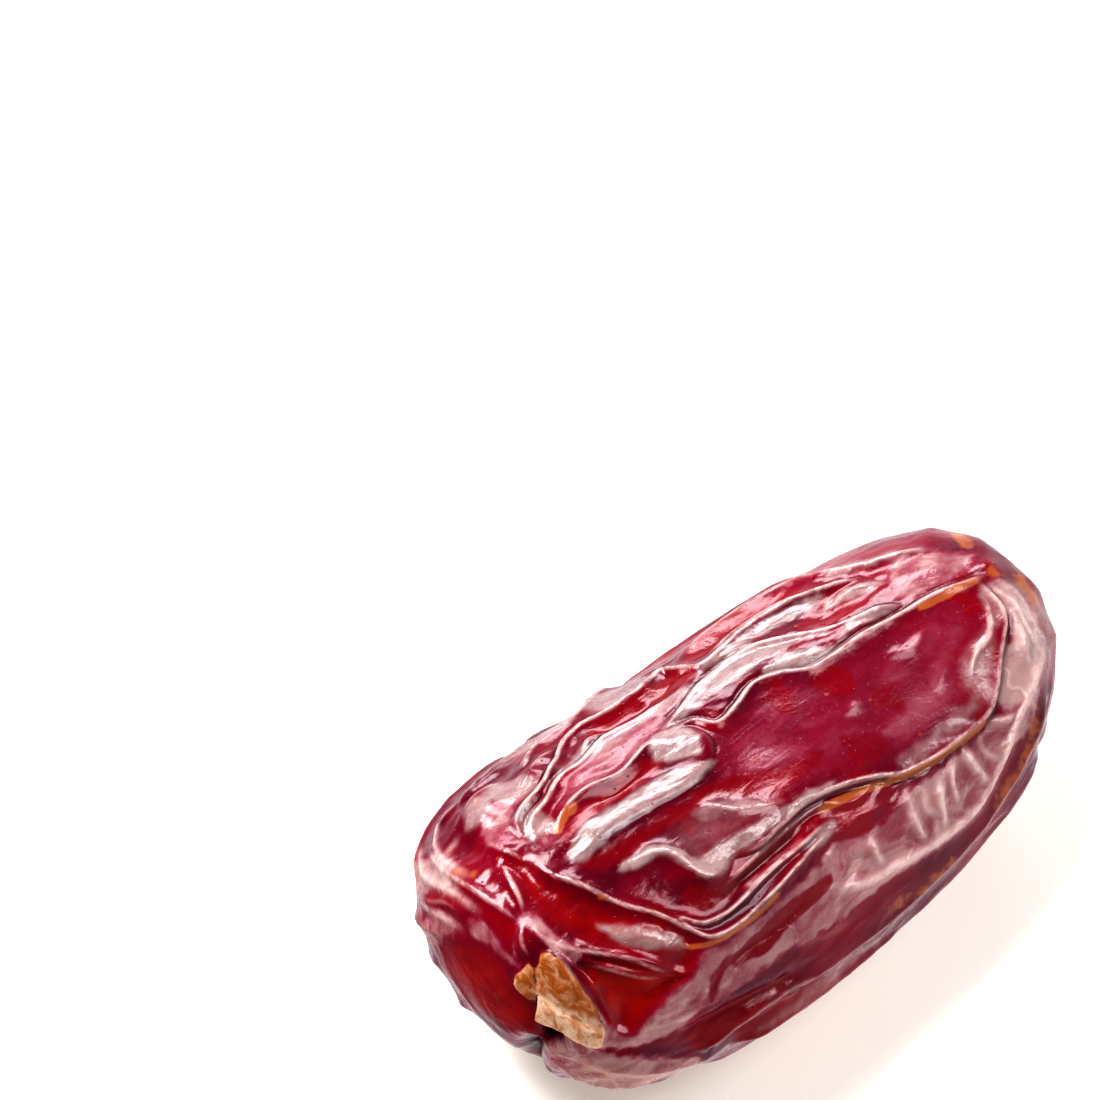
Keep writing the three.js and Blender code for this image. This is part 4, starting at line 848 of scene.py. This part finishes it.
class Shading:
    """Short names for the nodes of one material or world."""

    def __init__(self, owner, place):
        owner.use_nodes = True
        self.nodes = owner.node_tree.nodes
        self.links = owner.node_tree.links
        self.place = self.nodes.new("ShaderNodeTexCoord").outputs[place]

    def set(self, socket, value):
        if isinstance(value, bpy.types.NodeSocket):
            self.links.new(value, socket)
        elif socket.type == "RGBA":
            socket.default_value = (*value, 1)
        else:
            socket.default_value = value

    def filled(self, node, inputs, output):
        for name, value in inputs.items():
            self.set(node.inputs[name], value)
        return node.outputs[output]

    def attribute(self, name):
        node = self.nodes.new("ShaderNodeAttribute")
        node.attribute_name = name
        return node.outputs["Fac"]

    def stretched(self, scale):
        node = self.nodes.new("ShaderNodeMapping")
        return self.filled(node, {"Vector": self.place, "Scale": scale}, "Vector")

    def noise(self, scale, detail=3, stretch=(1, 1, 1), distortion=0.0):
        node = self.nodes.new("ShaderNodeTexNoise")
        pattern = {"Scale": scale, "Detail": detail, "Distortion": distortion}
        return self.filled(node, {"Vector": self.stretched(stretch), **pattern}, "Fac")

    def cells(self, scale, stretch=(1, 1, 1)):
        node = self.nodes.new("ShaderNodeTexVoronoi")
        return self.filled(node, {"Vector": self.stretched(stretch), "Scale": scale}, "Distance")

    def span(self, value, low, high, to_low=0.0, to_high=1.0):
        node = self.nodes.new("ShaderNodeMapRange")
        node.interpolation_type = "SMOOTHSTEP"
        ends = {"From Min": low, "From Max": high, "To Min": to_low, "To Max": to_high}
        return self.filled(node, {"Value": value, **ends}, "Result")

    def math(self, operation, first, second=0.0):
        node = self.nodes.new("ShaderNodeMath")
        node.operation = operation
        return self.filled(node, {0: first, 1: second}, 0)

    def times(self, first, second):
        return self.math("MULTIPLY", first, second)

    def mix(self, share, first, second):
        node = self.nodes.new("ShaderNodeMix")
        node.data_type = "RGBA"
        return self.filled(node, {"Factor": share, "A": first, "B": second}, "Result")

    def bump(self, height, distance, normal=None):
        node = self.nodes.new("ShaderNodeBump")
        if normal is not None:
            self.links.new(normal, node.inputs["Normal"])
        return self.filled(node, {"Height": height, "Distance": distance}, "Normal")


def skin_material():
    material = bpy.data.materials.new("date_skin")
    s = Shading(material, "Object")
    shader = s.nodes["Principled BSDF"].inputs

    # Deep red flesh seen through the skin, clouded in ruby and maroon
    clouds = s.noise(150, 4, (0.6, 1, 1), 0.4)
    colour = s.mix(s.span(clouds, 0.35, 0.65), RUBY, MAROON)
    colour = s.mix(s.span(s.noise(420, 3), 0.5, 0.75, 0, 0.4), colour, CHERRY)
    colour = s.mix(s.times(s.attribute("clear"), 0.6), colour, CHERRY)
    # Warm flesh beside the scar, partly a painted glow of light shining through it
    glow = s.times(s.attribute("glow"), s.span(s.noise(700, 4), 0.35, 0.6, 0.3, 1))
    colour = s.mix(s.times(glow, 0.8), colour, EMBER)

    # Pink bloom with painted reflection, pale loose skin with painted highlight, veined and lightly
    # clouded
    fine = s.noise(1900, 4, (0.5, 1, 1), 0.5)
    clouded = s.span(s.noise(500, 5, (0.5, 1, 1), 0.8), 0.3, 0.65, 0.6, 1)
    # Pink bloom, partly a painted reflection
    veil_and_reflection = s.times(s.attribute("veil_and_reflection"), clouded)
    colour = s.mix(s.span(veil_and_reflection, 0.0, 0.5, 0, 0.8), colour, MAGENTA)
    bloom_and_reflection = s.span(veil_and_reflection, 0.3, 1.0)
    colour = s.mix(s.times(bloom_and_reflection, 0.92), colour, ROSE)
    # Pale loose skin, partly a painted highlight
    film_and_highlight = s.times(s.attribute("film_and_highlight"), s.span(fine, 0.35, 0.6, 0.7, 1))
    colour = s.mix(s.times(film_and_highlight, 0.85), colour, PEARL)
    off_centre = s.math("ABSOLUTE", s.math("SUBTRACT", s.noise(260, 2, (0.55, 1, 1), 0.4), 0.5))
    veins = s.times(s.span(off_centre, 0.0, 0.03, 1, 0), bloom_and_reflection)
    colour = s.mix(s.times(veins, 0.35), colour, PALE_PINK)
    colour = s.mix(s.times(s.attribute("web"), s.span(fine, 0.3, 0.6, 0.35, 0.6)), colour, PALE_PINK)
    # Painted highlight: pale lines along the crests
    crest_highlight = s.times(s.span(s.attribute("crest_highlight"), 0.15, 0.9), s.span(fine, 0.35, 0.55, 0.5, 1))
    colour = s.mix(s.times(crest_highlight, 0.65), colour, PALE_PINK)
    # Painted shade: darker at the foot of each fold and in the hollows
    colour = s.mix(s.times(s.attribute("foot_shade"), 0.5), colour, PAINTED_SHADE)
    colour = s.mix(s.span(s.attribute("hollow"), 0.3, 1.2, 0, 0.85), colour, PAINTED_SHADE)

    # Amber seams with ragged edges, and small amber specks
    uneven = s.times(s.math("SUBTRACT", s.noise(1100, 4), 0.5), 0.9)
    ragged = s.span(s.math("ADD", s.attribute("amber"), uneven), 0.35, 0.75)
    ragged = s.times(ragged, s.span(s.attribute("amber"), 0.05, 0.25))
    colour = s.mix(s.times(ragged, 0.7), colour, AMBER_COLOUR)
    specks = s.span(s.cells(650, (0.6, 1, 1)), 0.05, 0.1, 1, 0)
    specks = s.times(specks, s.span(s.noise(130, 1), 0.5, 0.6))
    colour = s.mix(s.times(specks, 0.5), colour, AMBER_COLOUR)

    # The scar: fibrous tan tissue, browner on its upper half
    fibres = s.noise(2200, 5, (1, 0.4, 0.6), 0.8)
    tissue = s.mix(s.span(fibres, 0.4, 0.7), TAN, BROWNED)
    tissue = s.mix(s.times(s.attribute("scorch"), s.span(fibres, 0.3, 0.6, 0.5, 1.0)), tissue, RUST)
    ragged_scar = s.math("ADD", s.attribute("scar"), s.times(s.math("SUBTRACT", fibres, 0.5), 0.4))
    scar = s.span(ragged_scar, 0.4, 0.6)
    s.set(shader["Base Color"], s.mix(scar, colour, tissue))

    # Gloss, broken by fine grain and lost on bloom and scar
    grain = s.noise(2600, 4)
    rough = s.span(grain, 0.3, 0.7, 0.17, 0.27)
    rough = s.math("ADD", rough, s.times(veil_and_reflection, 0.12))
    rough = s.math("ADD", rough, s.times(film_and_highlight, 0.04))
    rough = s.math("ADD", rough, s.times(scar, 0.13))
    s.set(shader["Roughness"], rough)
    wet = s.math("SUBTRACT", 0.3, s.times(veil_and_reflection, 0.15))
    wet = s.math("ADD", wet, s.times(film_and_highlight, 0.3))
    wet = s.math("SUBTRACT", wet, s.span(s.attribute("hollow"), 0.4, 1.2, 0, 0.3))
    wet = s.math("SUBTRACT", wet, s.times(scar, 0.15))
    s.set(shader["Coat Weight"], s.math("MAXIMUM", wet, 0.0))
    shader["Coat Roughness"].default_value = 0.1
    shader["Specular IOR Level"].default_value = 0.3
    shader["Subsurface Weight"].default_value = 0.15
    shader["Subsurface Radius"].default_value = (1.0, 0.22, 0.12)
    shader["Subsurface Scale"].default_value = 0.001

    # Fine creases along the fruit, then pits and grain
    creased = s.noise(900, 6, (0.3, 1, 1), 1.0)
    pits = s.span(s.cells(1500), 0.03, 0.14)
    normal = s.bump(creased, 0.00005)
    normal = s.bump(pits, 0.00004, normal)
    normal = s.bump(grain, 0.000012, normal)
    normal = s.bump(s.times(film_and_highlight, s.noise(1500, 5, (0.4, 1, 1), 0.6)), 0.00007, normal)
    normal = s.bump(veins, 0.00003, normal)
    normal = s.bump(s.times(scar, fibres), 0.0002, normal)
    s.set(shader["Normal"], normal)
    s.set(shader["Coat Normal"], normal)
    return material


date = make_skin()
date.data.materials.append(skin_material())
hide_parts("date")
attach(date, "root")


def plain_material(name, colour, glow, strength, roughness=0.5):
    """One colour all over, which also glows."""
    material = bpy.data.materials.new(name)
    material.use_nodes = True
    shader = material.node_tree.nodes["Principled BSDF"].inputs
    shader["Base Color"].default_value = (*colour, 1)
    shader["Roughness"].default_value = roughness
    shader["Emission Color"].default_value = (*glow, 1)
    shader["Emission Strength"].default_value = strength
    return material


# The floor glows a little, because the photograph's background is burnt out to white
bpy.ops.mesh.primitive_plane_add(size=6, location=(0, 0, 0))
floor = bpy.context.object
floor.name = "floor"
floor.data.materials.append(plain_material("floor", (0.84, 0.84, 0.84), (1.0, 0.95, 0.84), 0.3, 0.6))
floor.visible_glossy = False

# The camera, as fitted to the fruit's outline in the photograph
CAMERA_TURN, CAMERA_TILT = math.radians(42.6), math.radians(42)
CAMERA_DISTANCE = 0.155
AIM_LEFT, AIM_UP = 0.0157, 0.01887
FIELD_OF_VIEW = math.radians(30)
MIDDLE = Vector((-0.00045, -0.00009, 0.0108))
level = math.cos(CAMERA_TILT)
ahead = Vector((math.sin(CAMERA_TURN) * level, math.cos(CAMERA_TURN) * level, -math.sin(CAMERA_TILT)))
right = Vector((math.cos(CAMERA_TURN), -math.sin(CAMERA_TURN), 0))
above = right.cross(ahead)
camera = placed("camera", bpy.data.cameras.new("camera"))
camera.location = MIDDLE - right * AIM_LEFT + above * AIM_UP - ahead * CAMERA_DISTANCE
camera.rotation_euler = ahead.to_track_quat("-Z", "Y").to_euler()
camera.data.angle = FIELD_OF_VIEW
camera.data.clip_start = 0.005
scene = bpy.context.scene
scene.camera = camera


def turned_to(target, place):
    return (Vector(target) - Vector(place)).to_track_quat("-Z", "Y").to_euler()


def soft_light(name, place, target, size, power):
    light = bpy.data.lights.new(name, "AREA")
    light.shape = "RECTANGLE"
    light.size, light.size_y = size
    light.energy = power
    lamp = placed(name, light)
    lamp.location = place
    lamp.visible_camera = False
    lamp.rotation_euler = turned_to(target, place)


def reflected_card(name, place, target, size, brightness):
    """A bright card that only shows as a reflection."""
    bpy.ops.mesh.primitive_plane_add(size=1, location=place)
    card = bpy.context.object
    card.name = name
    card.scale = (*size, 1)
    card.rotation_euler = turned_to(target, place)
    card.data.materials.append(plain_material(name, (0, 0, 0), (0.96, 0.97, 1.0), brightness))
    card.visible_camera = False
    card.visible_diffuse = False
    card.visible_shadow = False


reflected_card("window", (0.32, 0.348, 0.42), (0, 0, 0.01), (0.42, 0.20), 8)
reflected_card("right", (0.30, -0.38, 0.36), (0, 0, 0.01), (0.20, 0.10), 8)
soft_light("key", (-0.14, 0.30, 0.55), (0, 0, 0), (0.36, 0.30), 4.7)
soft_light("fill", (0.30, -0.35, 0.60), (0, 0, 0), (0.30, 0.30), 1.5)

# Surroundings: bright past the tip up to just above the horizon, dim above and behind the stem end
world = bpy.data.worlds.new("world")
sky = Shading(world, "Generated")
parts = sky.nodes.new("ShaderNodeSeparateXYZ")
sky.links.new(sky.place, parts.inputs[0])
upward = sky.span(parts.outputs["Z"], 0.1, 0.6, 0.75, 0.1)
sideways = sky.span(parts.outputs["X"], -0.45, 0.35, 0.12, 1.0)
background = sky.nodes["Background"].inputs
sky.set(background["Strength"], sky.times(upward, sideways))
background["Color"].default_value = (1.0, 0.95, 0.97, 1)
scene.world = world
scene.view_settings.view_transform = "Standard"
scene.view_settings.look = "Very High Contrast"
